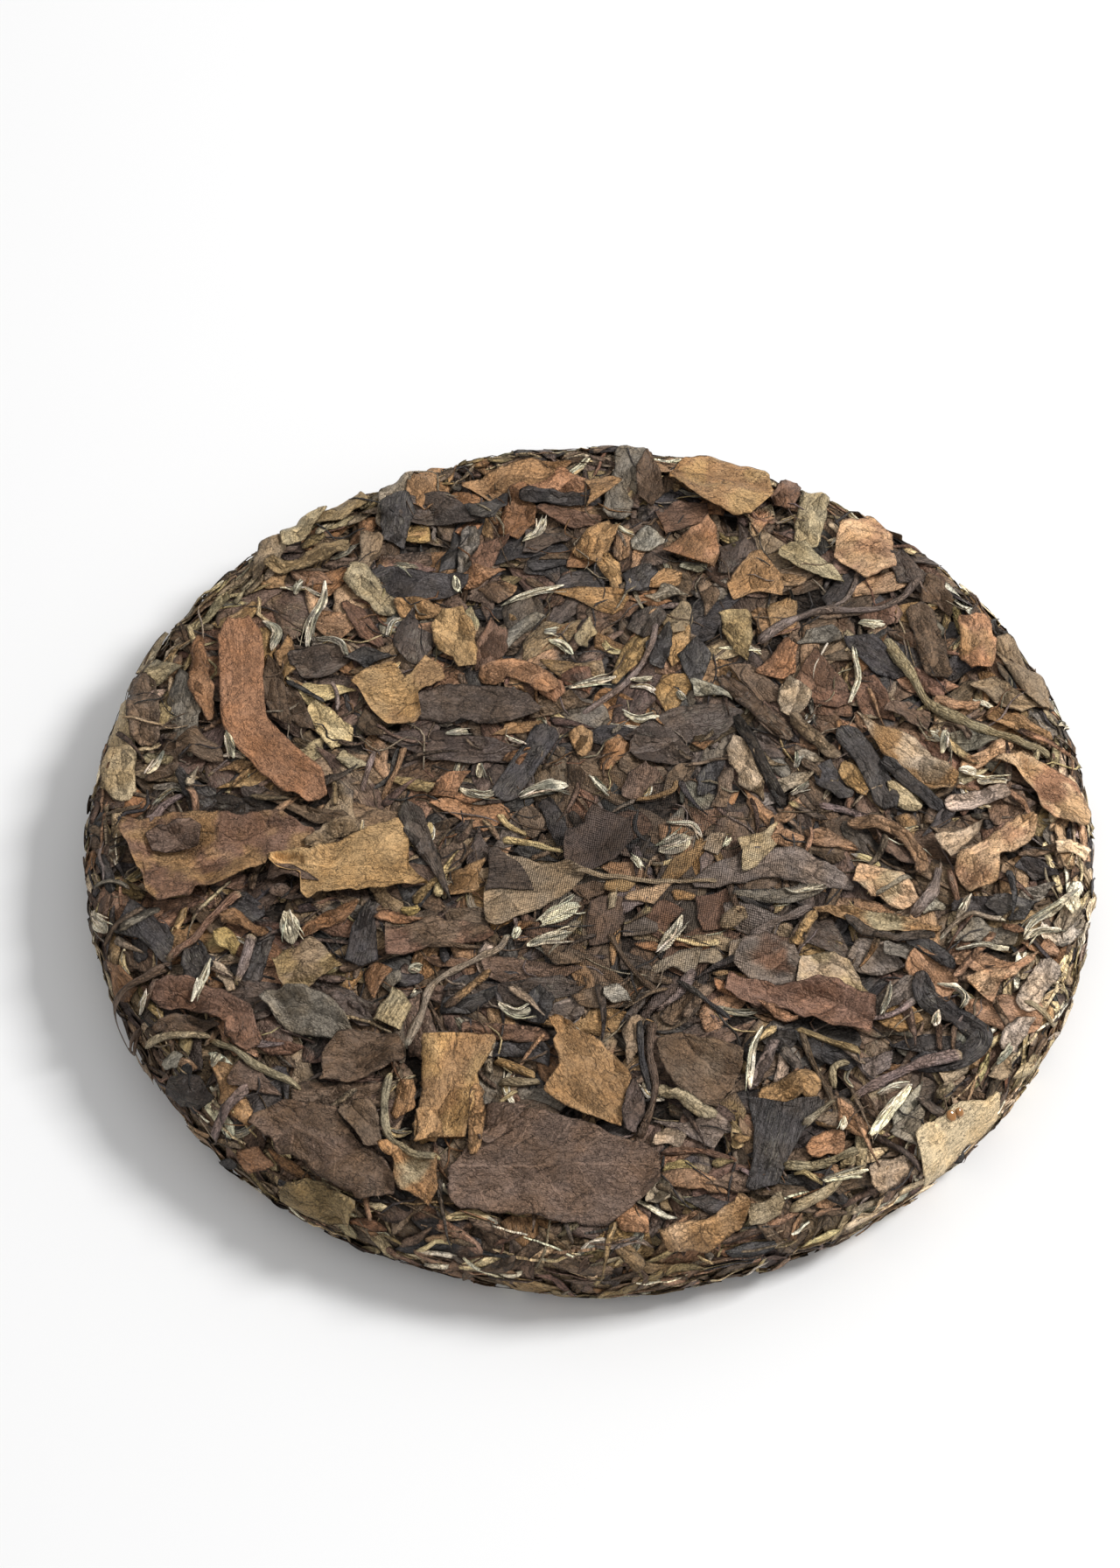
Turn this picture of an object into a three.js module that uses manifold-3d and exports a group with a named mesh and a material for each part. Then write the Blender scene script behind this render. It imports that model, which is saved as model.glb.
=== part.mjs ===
// White tea cake: a disc of dried tea pressed in a cloth bag, with whole leaves, torn leaves,
// stems and silver buds lying flat on its face and edge-on round its rim.
// Millimetres, +Z up. The origin is the middle of the flat underside.
import * as THREE from "three";
import { mergeVertices } from "three/addons/utils/BufferGeometryUtils.js";
import Module from "manifold-3d";

const wasm = await Module();
wasm.setup();

// Driving dimensions of the pressed core
const CORE_RADIUS = 99;
const RIM_HEIGHT = 18.6; // where the face turns into the rounded rim
const DOME_RISE = 1.2; // how much higher the middle of the face is
const RIM_DEPTH = 11; // how far the rounding reaches in from the widest ring
const RIM_ROUNDING = 0.7; // 1 is an ellipse, smaller is squarer
const SEED = 357;

// Low swells left by pressing: height, how many cross, waves in radians a millimetre, fading at the foot
const SWELLS = { height: 0.55, count: 7, waves: [0.05, 0.16], fade: 12 };

// Facets
const AROUND = 44;
const FACE_RINGS = 3;
const RIM_RINGS = 6;
const STEM_SIDES = 5;
const STEM_STEPS = 2; // for each place that a stem passes through
const LARGE_LEAF_GRID = { columns: 5, rows: 2 };
const SMALL_LEAF_GRID = { columns: 3, rows: 1 };
const SAME_POINT = 1e-4; // corners closer than this are one

// How pieces stand on the core
const SUNK = 1.2; // roots of every piece below the core's skin
const LEAF_STAND = 0.8; // top of a leaf above the skin
const LAYER_STEP = 0.4; // later leaves lie on earlier ones
const LAYERS = 3;
const STEM_PROUD = 0.45; // middle of a stem above the skin, as a share of its thickness

// A leaf's outline and waviness
const LEAF_TIP = 0.12; // share of the outline's half wave that is torn off at each end
const LEAF_FULLNESS = 0.8; // smaller is fuller towards the ends
const TORN_EDGE = [0.8, 1.1]; // each edge corner's distance from the midrib, as a share
const RIPPLE = { height: 0.12, along: 5, across: 2, droop: 0.08 };

// Pieces spread by rule
const SMALL_LEAVES = { count: 30, long: [10, 16], wide: [6, 9], stand: 0.45, edge: 88 };
const RIM_SHREDS = { count: 54, long: [10, 20], wide: [2.4, 4], stand: [0.5, 1.2], lean: [-22, 22] };
const RIM_ROWS = { count: 3, first: 0.22, apart: 0.25, stray: 0.06 }; // as shares of the way down
const GOLDEN_ANGLE = Math.PI * (3 - Math.sqrt(5));
const FULL_TURN = 2 * Math.PI;

// The large leaves that show: middle, length, width, turn from +X, bend along the length, in degrees
const LARGE_LEAVES = [
  { x: -7, y: -82, long: 38, wide: 23, turn: 4 },
  { x: -48, y: -76, long: 34, wide: 16, turn: -22 },
  { x: -43, y: -59, long: 23, wide: 12, turn: 8 },
  { x: -25, y: -66, long: 24, wide: 12, turn: 84 },
  { x: 1, y: -62, long: 23, wide: 13, turn: -62 },
  { x: 22, y: -61, long: 19, wide: 16, turn: 20 },
  { x: 36, y: -75, long: 21, wide: 10, turn: 74 },
  { x: -72, y: -15, long: 40, wide: 16, turn: -6 },
  { x: -45, y: -18, long: 32, wide: 10, turn: -8 },
  { x: -72, y: 31, long: 29, wide: 9.5, turn: 96 },
  { x: -61, y: 9, long: 27, wide: 9.5, turn: -43 },
  { x: -40, y: 28, long: 21, wide: 14, turn: 25 },
  { x: -28, y: 41, long: 18, wide: 8, turn: -66 },
  { x: -53, y: 23, long: 16, wide: 9, turn: -52 },
  { x: -54, y: -39, long: 16, wide: 11, turn: -20 },
  { x: -29, y: -33, long: 21, wide: 8, turn: 3 },
  { x: -12, y: -22, long: 24, wide: 12, turn: 26 },
  { x: 2, y: -9, long: 18, wide: 14, turn: 40 },
  { x: 37, y: -15, long: 34, wide: 7, turn: -4, bend: -24 },
  { x: 39, y: -45, long: 31, wide: 13, turn: -17 },
  { x: 36, y: -34, long: 23, wide: 9, turn: -16 },
  { x: 55, y: -26, long: 28, wide: 7, turn: -8, bend: 30 },
  { x: 76, y: -40, long: 25, wide: 12, turn: 12 },
  { x: 57, y: -19, long: 14, wide: 9, turn: -34 },
  { x: 79, y: -8, long: 22, wide: 12, turn: 24 },
  { x: 91, y: 3, long: 26, wide: 12, turn: -62 },
  { x: 56, y: 10, long: 27, wide: 8, turn: -52 },
  { x: 25, y: 87, long: 28, wide: 15, turn: -14 },
  { x: 54, y: 67, long: 21, wide: 12, turn: -40 },
  { x: 77, y: 46, long: 27, wide: 9, turn: -72 },
  { x: -30, y: 89, long: 26, wide: 12, turn: 12 },
  { x: -62, y: 66, long: 24, wide: 7, turn: 38 },
  { x: -73, y: -52, long: 25, wide: 7, turn: -32, bend: -40 },
  { x: -12, y: 11, long: 21, wide: 6, turn: 66 },
  { x: 69, y: -70, long: 25, wide: 9, turn: 43 },
];

// The long stems that show: the places that each passes through, and its thickness
const LONG_STEMS = [
  { thick: 2.2, through: [[-66, -21], [-73, -29], [-80, -38], [-91, -44]] },
  { thick: 2.2, through: [[71, -55], [60, -59], [51, -63], [42, -70]] },
  { thick: 2.0, through: [[33, 42], [46, 50], [60, 52], [68, 60]] },
  { thick: 1.8, through: [[-16, -32], [-29, -42], [-33, -50], [-33, -57]] },
  { thick: 2.0, through: [[63, 40], [68, 28], [80, 22], [94, 15]] },
  { thick: 1.8, through: [[-36, -62], [-37, -71], [-31, -79], [-26, -81]] },
  { thick: 1.8, through: [[-70, -53], [-61, -60], [-52, -66]] },
  { thick: 2.2, through: [[84, -30], [88, -24], [94, -16]] },
];

// Seeded random numbers from 0 to 1
function seededRandom(seed) {
  let state = seed;
  return () => {
    state = (state + 0x6d2b79f5) | 0;
    let mixed = Math.imul(state ^ (state >>> 15), state | 1);
    mixed ^= mixed + Math.imul(mixed ^ (mixed >>> 7), mixed | 61);
    return ((mixed ^ (mixed >>> 14)) >>> 0) / 2 ** 32;
  };
}
const random = seededRandom(SEED);
const between = ([low, high]) => low + (high - low) * random();

// Half section of the core from the middle of the face, over the rim, to the middle of the underside
function coreSection() {
  const halfHeight = RIM_HEIGHT / 2;
  const shoulder = CORE_RADIUS - RIM_DEPTH;
  const points = [];
  for (let i = 0; i < FACE_RINGS; i++) {
    const r = (shoulder * i) / FACE_RINGS;
    points.push(new THREE.Vector2(r, RIM_HEIGHT + DOME_RISE * (1 - (r / shoulder) ** 2)));
  }
  for (let i = 0; i <= RIM_RINGS; i++) {
    const angle = Math.PI * (1 / 2 - i / RIM_RINGS);
    const out = Math.max(0, Math.cos(angle)) ** RIM_ROUNDING;
    const up = Math.sign(Math.sin(angle)) * Math.abs(Math.sin(angle)) ** RIM_ROUNDING;
    points.push(new THREE.Vector2(shoulder + RIM_DEPTH * out, halfHeight * (1 + up)));
  }
  points.push(new THREE.Vector2(0, 0));
  return points;
}
const section = coreSection();
const foot = section.length - 2; // index of the point where the rim meets the underside

// Distance along the section from the middle of the face to each of its points
const reach = [0];
for (let i = 1; i < section.length; i++) {
  reach.push(reach[i - 1] + section[i].distanceTo(section[i - 1]));
}

// A place on the cake from flat coordinates, whose distance from the middle runs along the section,
// and a height above the core's skin
function onCake(flatX, flatY, height) {
  const along = Math.min(Math.hypot(flatX, flatY), reach[foot] - SAME_POINT);
  const angle = Math.atan2(flatY, flatX);
  const i = reach.findIndex((r, k) => k > 0 && along <= r);
  const step = section[i].clone().sub(section[i - 1]);
  const share = (along - reach[i - 1]) / (reach[i] - reach[i - 1]);
  const spot = section[i - 1].clone().addScaledVector(step, share);
  step.normalize();
  const r = spot.x - step.y * height;
  const z = spot.y + step.x * height;
  return new THREE.Vector3(r * Math.cos(angle), r * Math.sin(angle), Math.max(0, z));
}

// Low swells of the pressed skin, fading out before the underside
const swells = Array.from({ length: SWELLS.count }, () => ({
  turn: random() * Math.PI,
  waves: between(SWELLS.waves),
  shift: random() * FULL_TURN,
}));
function swell(flatX, flatY) {
  const sum = swells.reduce((total, { turn, waves, shift }) => {
    const across = flatX * Math.cos(turn) + flatY * Math.sin(turn);
    return total + Math.sin(across * waves + shift);
  }, 0);
  const toFoot = reach[foot] - Math.hypot(flatX, flatY);
  const fade = THREE.MathUtils.smoothstep(toFoot, 0, SWELLS.fade);
  return (SWELLS.height * sum * fade) / Math.sqrt(SWELLS.count);
}

// The pressed core: the section turned round the axis, with its swells
function coreGeometry() {
  const upwards = [...section].reverse();
  const geometry = new THREE.LatheGeometry(upwards, AROUND);
  geometry.rotateX(Math.PI / 2);
  const places = geometry.getAttribute("position");
  for (let n = 0; n < places.count; n++) {
    const ring = section.length - 1 - (n % section.length);
    if (ring > foot) continue;
    const angle = Math.atan2(places.getY(n), places.getX(n));
    const flatX = reach[ring] * Math.cos(angle);
    const flatY = reach[ring] * Math.sin(angle);
    const spot = onCake(flatX, flatY, swell(flatX, flatY));
    places.setXYZ(n, spot.x, spot.y, spot.z);
  }
  return geometry;
}

// A closed thin solid between two faces of the same grid: at(i, j, upper) gives each corner
function slabGeometry(columns, rows, at) {
  const places = [];
  const faces = [];
  const quad = (a, b, c, d) => faces.push(a, b, c, a, c, d);
  const low = (i, j) => j * (columns + 1) + i;
  const high = (i, j) => (columns + 1) * (rows + 1) + low(i, j);
  for (const upper of [false, true]) {
    for (let j = 0; j <= rows; j++) {
      for (let i = 0; i <= columns; i++) places.push(...at(i, j, upper).toArray());
    }
  }
  for (let j = 0; j < rows; j++) {
    for (let i = 0; i < columns; i++) {
      quad(high(i, j), high(i + 1, j), high(i + 1, j + 1), high(i, j + 1));
      quad(low(i, j + 1), low(i + 1, j + 1), low(i + 1, j), low(i, j));
    }
  }
  for (let i = 0; i < columns; i++) {
    quad(low(i, 0), low(i + 1, 0), high(i + 1, 0), high(i, 0));
    quad(high(i, rows), high(i + 1, rows), low(i + 1, rows), low(i, rows));
  }
  for (let j = 0; j < rows; j++) {
    quad(high(0, j), high(0, j + 1), low(0, j + 1), low(0, j));
    quad(low(columns, j), low(columns, j + 1), high(columns, j + 1), high(columns, j));
  }
  const geometry = new THREE.BufferGeometry();
  geometry.setAttribute("position", new THREE.Float32BufferAttribute(places, 3));
  geometry.setIndex(faces);
  return geometry;
}

// A pressed leaf: wide in the middle, torn at its ends and edges, wavy, bent along its length if asked
function leafGeometry({ x, y, long, wide, turn, bend = 0, stand }, { columns, rows }) {
  const edges = Array.from({ length: columns + 1 }, () => [between(TORN_EDGE), between(TORN_EDGE)]);
  const wave = random() * FULL_TURN;
  const heading = THREE.MathUtils.degToRad(turn);
  const bendAngle = THREE.MathUtils.degToRad(bend);
  return slabGeometry(columns, rows, (i, j, upper) => {
    const u = i / columns; // along the leaf, 0 to 1
    const v = (2 * j) / rows - 1; // across it, -1 to 1
    const taper = Math.sin(Math.PI * THREE.MathUtils.lerp(LEAF_TIP, 1 - LEAF_TIP, u)) ** LEAF_FULLNESS;
    const side = (v * wide * taper * edges[i][v < 0 ? 0 : 1]) / 2;
    const along = (u - 1 / 2) * long;
    const lean = heading + bendAngle * (u - 1 / 2);
    const middle = (heading + lean) / 2;
    const flatX = x + along * Math.cos(middle) - side * Math.sin(lean);
    const flatY = y + along * Math.sin(middle) + side * Math.cos(lean);
    const wavy = RIPPLE.height * Math.sin(wave + RIPPLE.along * u + RIPPLE.across * v);
    const top = stand + wavy - RIPPLE.droop * v * v;
    return onCake(flatX, flatY, swell(flatX, flatY) + (upper ? top : -SUNK));
  });
}

// A stem half sunk in the skin, round in section
function stemGeometry({ thick, through }) {
  const line = new THREE.CatmullRomCurve3(
    through.map(([x, y]) => onCake(x, y, swell(x, y) + STEM_PROUD * thick)),
  );
  const round = new THREE.Shape(
    Array.from({ length: STEM_SIDES }, (_, k) => {
      const angle = (FULL_TURN * k) / STEM_SIDES;
      return new THREE.Vector2((thick / 2) * Math.cos(angle), (thick / 2) * Math.sin(angle));
    }),
  );
  const steps = STEM_STEPS * through.length;
  return new THREE.ExtrudeGeometry(round, { steps, extrudePath: line, bevelEnabled: false });
}

// The large leaves lie in turn on a few layers
function largeLeaf(leaf, n) {
  const stand = LEAF_STAND + LAYER_STEP * (n % LAYERS);
  return leafGeometry({ ...leaf, stand }, LARGE_LEAF_GRID);
}

// Smaller leaves on a sunflower spiral, which spreads them evenly over the face
function smallLeaf(n) {
  const far = SMALL_LEAVES.edge * Math.sqrt((n + 1 / 2) / SMALL_LEAVES.count);
  const angle = n * GOLDEN_ANGLE;
  const leaf = {
    x: far * Math.cos(angle),
    y: far * Math.sin(angle),
    long: between(SMALL_LEAVES.long),
    wide: between(SMALL_LEAVES.wide),
    turn: between([0, 360]),
    stand: SMALL_LEAVES.stand,
  };
  return leafGeometry(leaf, SMALL_LEAF_GRID);
}

// Edge-on shreds round the rim, in staggered rows
function rimShred(n) {
  const shoulder = reach[FACE_RINGS];
  const down = RIM_ROWS.first + RIM_ROWS.apart * (n % RIM_ROWS.count) + RIM_ROWS.stray * random();
  const far = shoulder + (reach[foot] - shoulder) * down;
  const angle = (FULL_TURN * (n + random() / 2)) / RIM_SHREDS.count;
  const leaf = {
    x: far * Math.cos(angle),
    y: far * Math.sin(angle),
    long: between(RIM_SHREDS.long),
    wide: between(RIM_SHREDS.wide),
    turn: THREE.MathUtils.radToDeg(angle) + 90 + between(RIM_SHREDS.lean),
    stand: between(RIM_SHREDS.stand),
  };
  return leafGeometry(leaf, SMALL_LEAF_GRID);
}

function solidFrom(geometry) {
  const bare = new THREE.BufferGeometry();
  bare.setAttribute("position", geometry.getAttribute("position"));
  bare.setIndex(geometry.index);
  const merged = mergeVertices(bare, SAME_POINT);
  const vertProperties = merged.getAttribute("position").array;
  const triVerts = new Uint32Array(merged.index.array);
  return new wasm.Manifold(new wasm.Mesh({ numProp: 3, vertProperties, triVerts }));
}

function geometryFrom(solid) {
  const mesh = solid.getMesh();
  const geometry = new THREE.BufferGeometry();
  geometry.setAttribute("position", new THREE.BufferAttribute(mesh.vertProperties, 3));
  geometry.setIndex(new THREE.BufferAttribute(mesh.triVerts, 1));
  return geometry;
}

// All pieces fused to the core, with loose scraps dropped and the box centred over the origin
function cakeGeometry() {
  const small = Array.from({ length: SMALL_LEAVES.count }, (_, n) => smallLeaf(n));
  const large = LARGE_LEAVES.map(largeLeaf);
  const shreds = Array.from({ length: RIM_SHREDS.count }, (_, n) => rimShred(n));
  const stems = LONG_STEMS.map(stemGeometry);
  const pieces = [...small, ...large, ...shreds, ...stems].map(solidFrom);
  const fused = pieces.reduce((whole, piece) => whole.add(piece), solidFrom(coreGeometry()));
  const [cake] = fused.decompose().sort((a, b) => b.volume() - a.volume());
  const geometry = geometryFrom(cake);
  geometry.computeBoundingBox();
  const middle = geometry.boundingBox.getCenter(new THREE.Vector3());
  geometry.translate(-middle.x, -middle.y, -geometry.boundingBox.min.z);
  geometry.computeVertexNormals();
  return geometry;
}

const pressedTea = new THREE.MeshStandardMaterial({ color: 0x6a5240, roughness: 0.85, metalness: 0 });
const cake = new THREE.Mesh(cakeGeometry(), pressedTea);
cake.name = "tea_cake";

const whiteTeaCake = new THREE.Group();
whiteTeaCake.add(cake);

export default whiteTeaCake;
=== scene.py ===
import functools
import math
import bpy
import numpy as np
from mathutils import Matrix, Vector


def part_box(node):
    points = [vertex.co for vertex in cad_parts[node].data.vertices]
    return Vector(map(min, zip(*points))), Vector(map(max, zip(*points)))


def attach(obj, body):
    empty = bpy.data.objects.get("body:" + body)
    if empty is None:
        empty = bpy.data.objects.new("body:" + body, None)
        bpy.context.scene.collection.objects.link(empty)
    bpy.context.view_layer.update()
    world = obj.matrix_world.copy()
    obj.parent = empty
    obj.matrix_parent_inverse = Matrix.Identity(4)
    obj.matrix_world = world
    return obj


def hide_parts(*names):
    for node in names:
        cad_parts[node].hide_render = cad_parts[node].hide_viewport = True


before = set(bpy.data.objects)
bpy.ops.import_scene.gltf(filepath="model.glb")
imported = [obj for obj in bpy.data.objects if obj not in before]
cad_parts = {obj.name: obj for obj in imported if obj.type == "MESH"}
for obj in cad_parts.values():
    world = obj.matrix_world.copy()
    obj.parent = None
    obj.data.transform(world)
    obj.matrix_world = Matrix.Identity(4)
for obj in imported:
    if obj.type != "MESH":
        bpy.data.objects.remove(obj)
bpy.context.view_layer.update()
mm = 0.001
tiny = 1e-6
fullTurn = 2 * math.pi
diceSeed = 350
dice = np.random.default_rng(diceSeed)
print("frame loaded")


# Camera: the cake's middle, seen from the front, lies at midPixel of the picture
shot = {
    "lens": 70.0, "sensor": 36.0, "picture": (1280, 1792), "midPixel": (674.6, 952.8),
    "elevation": 54.28, "roll": 1.0, "distance": 608.0, "midHeight": 9.7,
}


def putIn(name, data):  # a new object in the scene
    made = bpy.data.objects.new(name, data)
    bpy.context.scene.collection.objects.link(made)
    return made


def turned(a, b, angle):  # two square axes, turned in their plane
    cos, sin = math.cos(angle), math.sin(angle)
    return cos * a + sin * b, cos * b - sin * a


def makeCamera():
    wide, tall = shot["picture"]
    focal = tall * shot["lens"] / shot["sensor"]
    rise = math.radians(shot["elevation"])
    back = Vector((0, -math.cos(rise), math.sin(rise)))
    across = (shot["midPixel"][0] - wide / 2) / focal
    down = (shot["midPixel"][1] - tall / 2) / focal
    ahead, right = -back, Vector((1, 0, 0))
    up = right.cross(ahead)
    ahead, up = turned(ahead, up, math.atan(down))
    ahead, right = turned(ahead, right, -math.atan(across / math.hypot(1, down)))
    right, up = turned(right, up, math.radians(shot["roll"]))
    eye = Vector((0, 0, shot["midHeight"])) + back * shot["distance"]
    camera = putIn("camera", bpy.data.cameras.new("camera"))
    camera.data.lens = shot["lens"]
    camera.data.sensor_width = shot["sensor"]
    camera.matrix_world = Matrix.Translation(eye * mm) @ Matrix((right, up, -ahead)).transposed().to_4x4()
    bpy.context.scene.camera = camera


makeCamera()
print("camera placed")


# The pressed disc, in millimetres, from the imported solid
low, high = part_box("tea_cake")
leafOut, leafRise = 0.8, 3.3  # how far the solid's leaves stand out of the disc, at the rim and in height
cake = {
    "radius": (high.x - low.x) / mm / 2 - leafOut,
    "rimHeight": (high.z - low.z) / mm - leafRise,
    "domeRise": 1.2,
    "rimDepth": 11.0,
    "rimRounding": 0.7,
    "level": 0.7,  # mean height of the topmost leaves above the disc's skin
    "swell": 0.45,  # low swells left by pressing
    "swellWide": 34,
    "underLevel": 1.3,  # height of the matted bed above the table
    "faceSteps": 60,
    "rimSteps": 160,
}
shoulder = cake["radius"] - cake["rimDepth"]


def cakeSection():
    r = np.linspace(0, shoulder, cake["faceSteps"])
    z = cake["rimHeight"] + cake["domeRise"] * (1 - (r / shoulder) ** 2)
    angle = np.linspace(math.pi / 2, -math.pi / 2, cake["rimSteps"] + 1)[1:]
    out = np.abs(np.cos(angle)) ** cake["rimRounding"]
    up = np.sign(np.sin(angle)) * np.abs(np.sin(angle)) ** cake["rimRounding"]
    r = np.append(r, shoulder + cake["rimDepth"] * out)
    z = np.append(z, cake["rimHeight"] / 2 * (1 + up))
    return r, z


sectionR, sectionZ = cakeSection()
stepR, stepZ = np.gradient(sectionR), np.gradient(sectionZ)
stepLong = np.hypot(stepR, stepZ)
normalR, normalZ = -stepZ / stepLong, stepR / stepLong
reach = np.append(0, np.cumsum(np.hypot(np.diff(sectionR), np.diff(sectionZ))))
footReach = reach[-1]
shoulderReach = reach[cake["faceSteps"] - 1]
upperHalf = sectionZ > cake["rimHeight"] / 2


# Random lumps on a lattice, 0 to 1
latticeSide = 256
keyShift = (37, 91)  # how far apart two keys read the lattice
lattice = dice.random((latticeSide, latticeSide))


def lumps(x, y, key=0):
    x, y = np.broadcast_arrays(np.asarray(x, float), np.asarray(y, float))
    ix, iy = np.floor(x).astype(int), np.floor(y).astype(int)
    fx, fy = x - ix, y - iy
    fx, fy = fx * fx * (3 - 2 * fx), fy * fy * (3 - 2 * fy)
    ix, iy = ix + keyShift[0] * key, iy + keyShift[1] * key
    left, right = ix % latticeSide, (ix + 1) % latticeSide
    front, behind = iy % latticeSide, (iy + 1) % latticeSide
    lowEdge = lattice[left, front] * (1 - fx) + lattice[right, front] * fx
    highEdge = lattice[left, behind] * (1 - fx) + lattice[right, behind] * fx
    return lowEdge * (1 - fy) + highEdge * fy


def crumple(x, y, key=0, octaves=3):
    total = sum(lumps(x * 2**k, y * 2**k, key + k) / 2**k for k in range(octaves))
    return total / sum(1 / 2**k for k in range(octaves))


def softFloor(z, soft=0.15):  # keeps everything above the table, and in order
    return np.where(z > soft, z, soft * np.exp(np.minimum(z, soft) / soft - 1))


# Flat coordinates run along the section from the middle of the face, over the rim, to the foot.
# What stands out past the knee is pressed in, and everything closes up towards the table
outerPress = {"knee": (2.4, 1.2), "kneeFromFoot": 18, "beyond": 0.6, "closing": (14, 4), "leftAtFoot": 0.25}
underPress = {"inside": 4, "draw": 7.0}  # underneath, leaves that reach past the foot are drawn in


def onCake(x, y, h):
    along = np.maximum(np.hypot(x, y), tiny)
    r, z = np.interp(along, reach, sectionR), np.interp(along, reach, sectionZ)
    nr, nz = np.interp(along, reach, normalR), np.interp(along, reach, normalZ)
    knee = np.interp(along, [shoulderReach, footReach - outerPress["kneeFromFoot"]], outerPress["knee"])
    soft = outerPress["beyond"]
    h = np.where(h > knee, knee + soft * (1 - np.exp(np.minimum(0, knee - h) / soft)), h)
    closing = [footReach - away for away in outerPress["closing"]]
    h = h * np.interp(along, closing, [1, outerPress["leftAtFoot"]])
    outwards = r + nr * h
    return np.stack([outwards * x / along, outwards * y / along, softFloor(z + nz * h)], -1)


def underCake(x, y, h):
    r = np.maximum(np.hypot(x, y), tiny)
    inner, draw = shoulder - underPress["inside"], underPress["draw"]
    drawn = np.where(r > inner, inner + draw * (1 - np.exp(np.minimum(0, inner - r) / draw)), r) / r
    return np.stack([x * drawn, -y * drawn, softFloor(cake["underLevel"] - h)], -1)


def toFlat(points):  # from places seen from above to flat coordinates
    points = np.asarray(points, float)
    r = np.maximum(np.hypot(points[..., 0], points[..., 1]), tiny)
    flat = np.interp(r, sectionR[upperHalf], reach[upperHalf])
    return points * (flat / r)[..., None]


# Height of what has been laid so far, over flat coordinates
pileRule = {
    "cell": 0.25, "bedRise": 0.5, "bedLump": 2.2, "bedKey": 5,
    "near": 0.3, "sag": 0.06,  # a leaf rests on what is near, and sags a little
    "block": 8, "passes": 10, "finest": 8,
    "looseSpan": (35, 90),  # radii between which the pile grows looser
}


@functools.cache
def lerpTable(count, times):
    spots = np.linspace(0, count - 1, (count - 1) * times + 1)
    left = np.minimum(spots.astype(int), count - 2)
    table = np.zeros((len(spots), count))
    table[np.arange(len(spots)), left] = 1 - (spots - left)
    table[np.arange(len(spots)), left + 1] = spots - left
    return table


def eased(g):
    p = np.pad(g, 1, mode="edge")
    g = (p[:-2, 1:-1] + p[2:, 1:-1] + 2 * p[1:-1, 1:-1]) / 4
    p = np.pad(g, 1, mode="edge")
    return (p[1:-1, :-2] + p[1:-1, 2:] + 2 * p[1:-1, 1:-1]) / 4


class Pile:
    def __init__(self, half, far, loose):
        self.half, self.far, self.loose, self.cell = half, far, loose, pileRule["cell"]
        self.count = int(2 * half / self.cell) + 1
        self.spots = np.linspace(-half, half, self.count)
        lump = self.spots / pileRule["bedLump"]
        self.h = pileRule["bedRise"] * crumple(lump[:, None], lump[None, :], pileRule["bedKey"])
        self.bed = self.h.copy()

    def sample(self, grid, x, y, cell):
        fx = np.clip((x + self.half) / cell, 0, grid.shape[0] - 1.001)
        fy = np.clip((y + self.half) / cell, 0, grid.shape[1] - 1.001)
        ix, iy = fx.astype(int), fy.astype(int)
        fx, fy = fx - ix, fy - iy
        lowEdge = grid[ix, iy] * (1 - fx) + grid[ix + 1, iy] * fx
        highEdge = grid[ix, iy + 1] * (1 - fx) + grid[ix + 1, iy + 1] * fx
        return lowEdge * (1 - fy) + highEdge * fy

    def at(self, x, y):
        return self.sample(self.h, x, y, self.cell)

    def bedAt(self, x, y):
        return self.sample(self.bed, x, y, self.cell)

    def lay(self, x, y, z):
        step = max(np.hypot(np.diff(x, axis=0), np.diff(y, axis=0)).max(),
                   np.hypot(np.diff(x, axis=1), np.diff(y, axis=1)).max())
        times = int(min(pileRule["finest"], max(1, math.ceil(step / self.cell))))
        rows, columns = lerpTable(x.shape[0], times), lerpTable(x.shape[1], times).T
        ix, iy = (np.rint((rows @ c @ columns + self.half) / self.cell).astype(int) for c in (x, y))
        ix, iy = np.clip(ix, 0, self.count - 1), np.clip(iy, 0, self.count - 1)
        self.h[ix, iy] = np.maximum(self.h[ix, iy], rows @ z @ columns)

    def settle(self, x, y, stiff):
        near, under = pileRule["near"], self.at(x, y)
        for aside, beyond in ((near, 0), (-near, 0), (0, near), (0, -near)):
            under = np.maximum(under, self.at(x + aside, y + beyond))
        lie = under
        for _ in range(stiff):
            lie = eased(lie)
        for _ in range(2):
            lie = eased(np.maximum(lie, under - pileRule["sag"]))
        return lie

    def blockMeans(self, grid):
        block, count = pileRule["block"], self.count // pileRule["block"]
        return grid[:count * block, :count * block].reshape(count, block, count, block).mean((1, 3))

    def press(self):  # finds the slow part of the pile's height, which pressing takes out
        inside = 1.0 * (np.hypot(self.spots[:, None], self.spots[None, :]) < self.far)
        share, coarse = self.blockMeans(inside), self.blockMeans(inside * self.h)
        for _ in range(pileRule["passes"]):
            share, coarse = eased(share), eased(coarse)
        self.coarse = coarse / np.maximum(share, 0.001)

    def squeezed(self, x, y, z):
        wide = self.cell * pileRule["block"]
        slow = self.sample(self.coarse, x - wide / 2, y - wide / 2, wide)
        loose = np.interp(np.hypot(x, y), pileRule["looseSpan"], self.loose)
        return cake["level"] + loose * (z - slow)

    def flatten(self, bunches, loose):  # presses what has been laid so far; later leaves keep their thickness
        self.press()
        x, y = np.meshgrid(self.spots, self.spots, indexing="ij")
        self.h, self.bed = self.squeezed(x, y, self.h), self.squeezed(x, y, self.bed)
        for bunch in bunches:
            bunch.slabs = [(self.lowered(s[0]), self.lowered(s[1]), *s[2:]) for s in bunch.slabs]
            bunch.tubes = [(self.lowered(t[0]), *t[1:]) for t in bunch.tubes]
        self.loose = loose

    def lowered(self, grid):
        x, y, z = np.broadcast_arrays(*grid)
        return x, y, self.squeezed(x, y, z)


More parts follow.
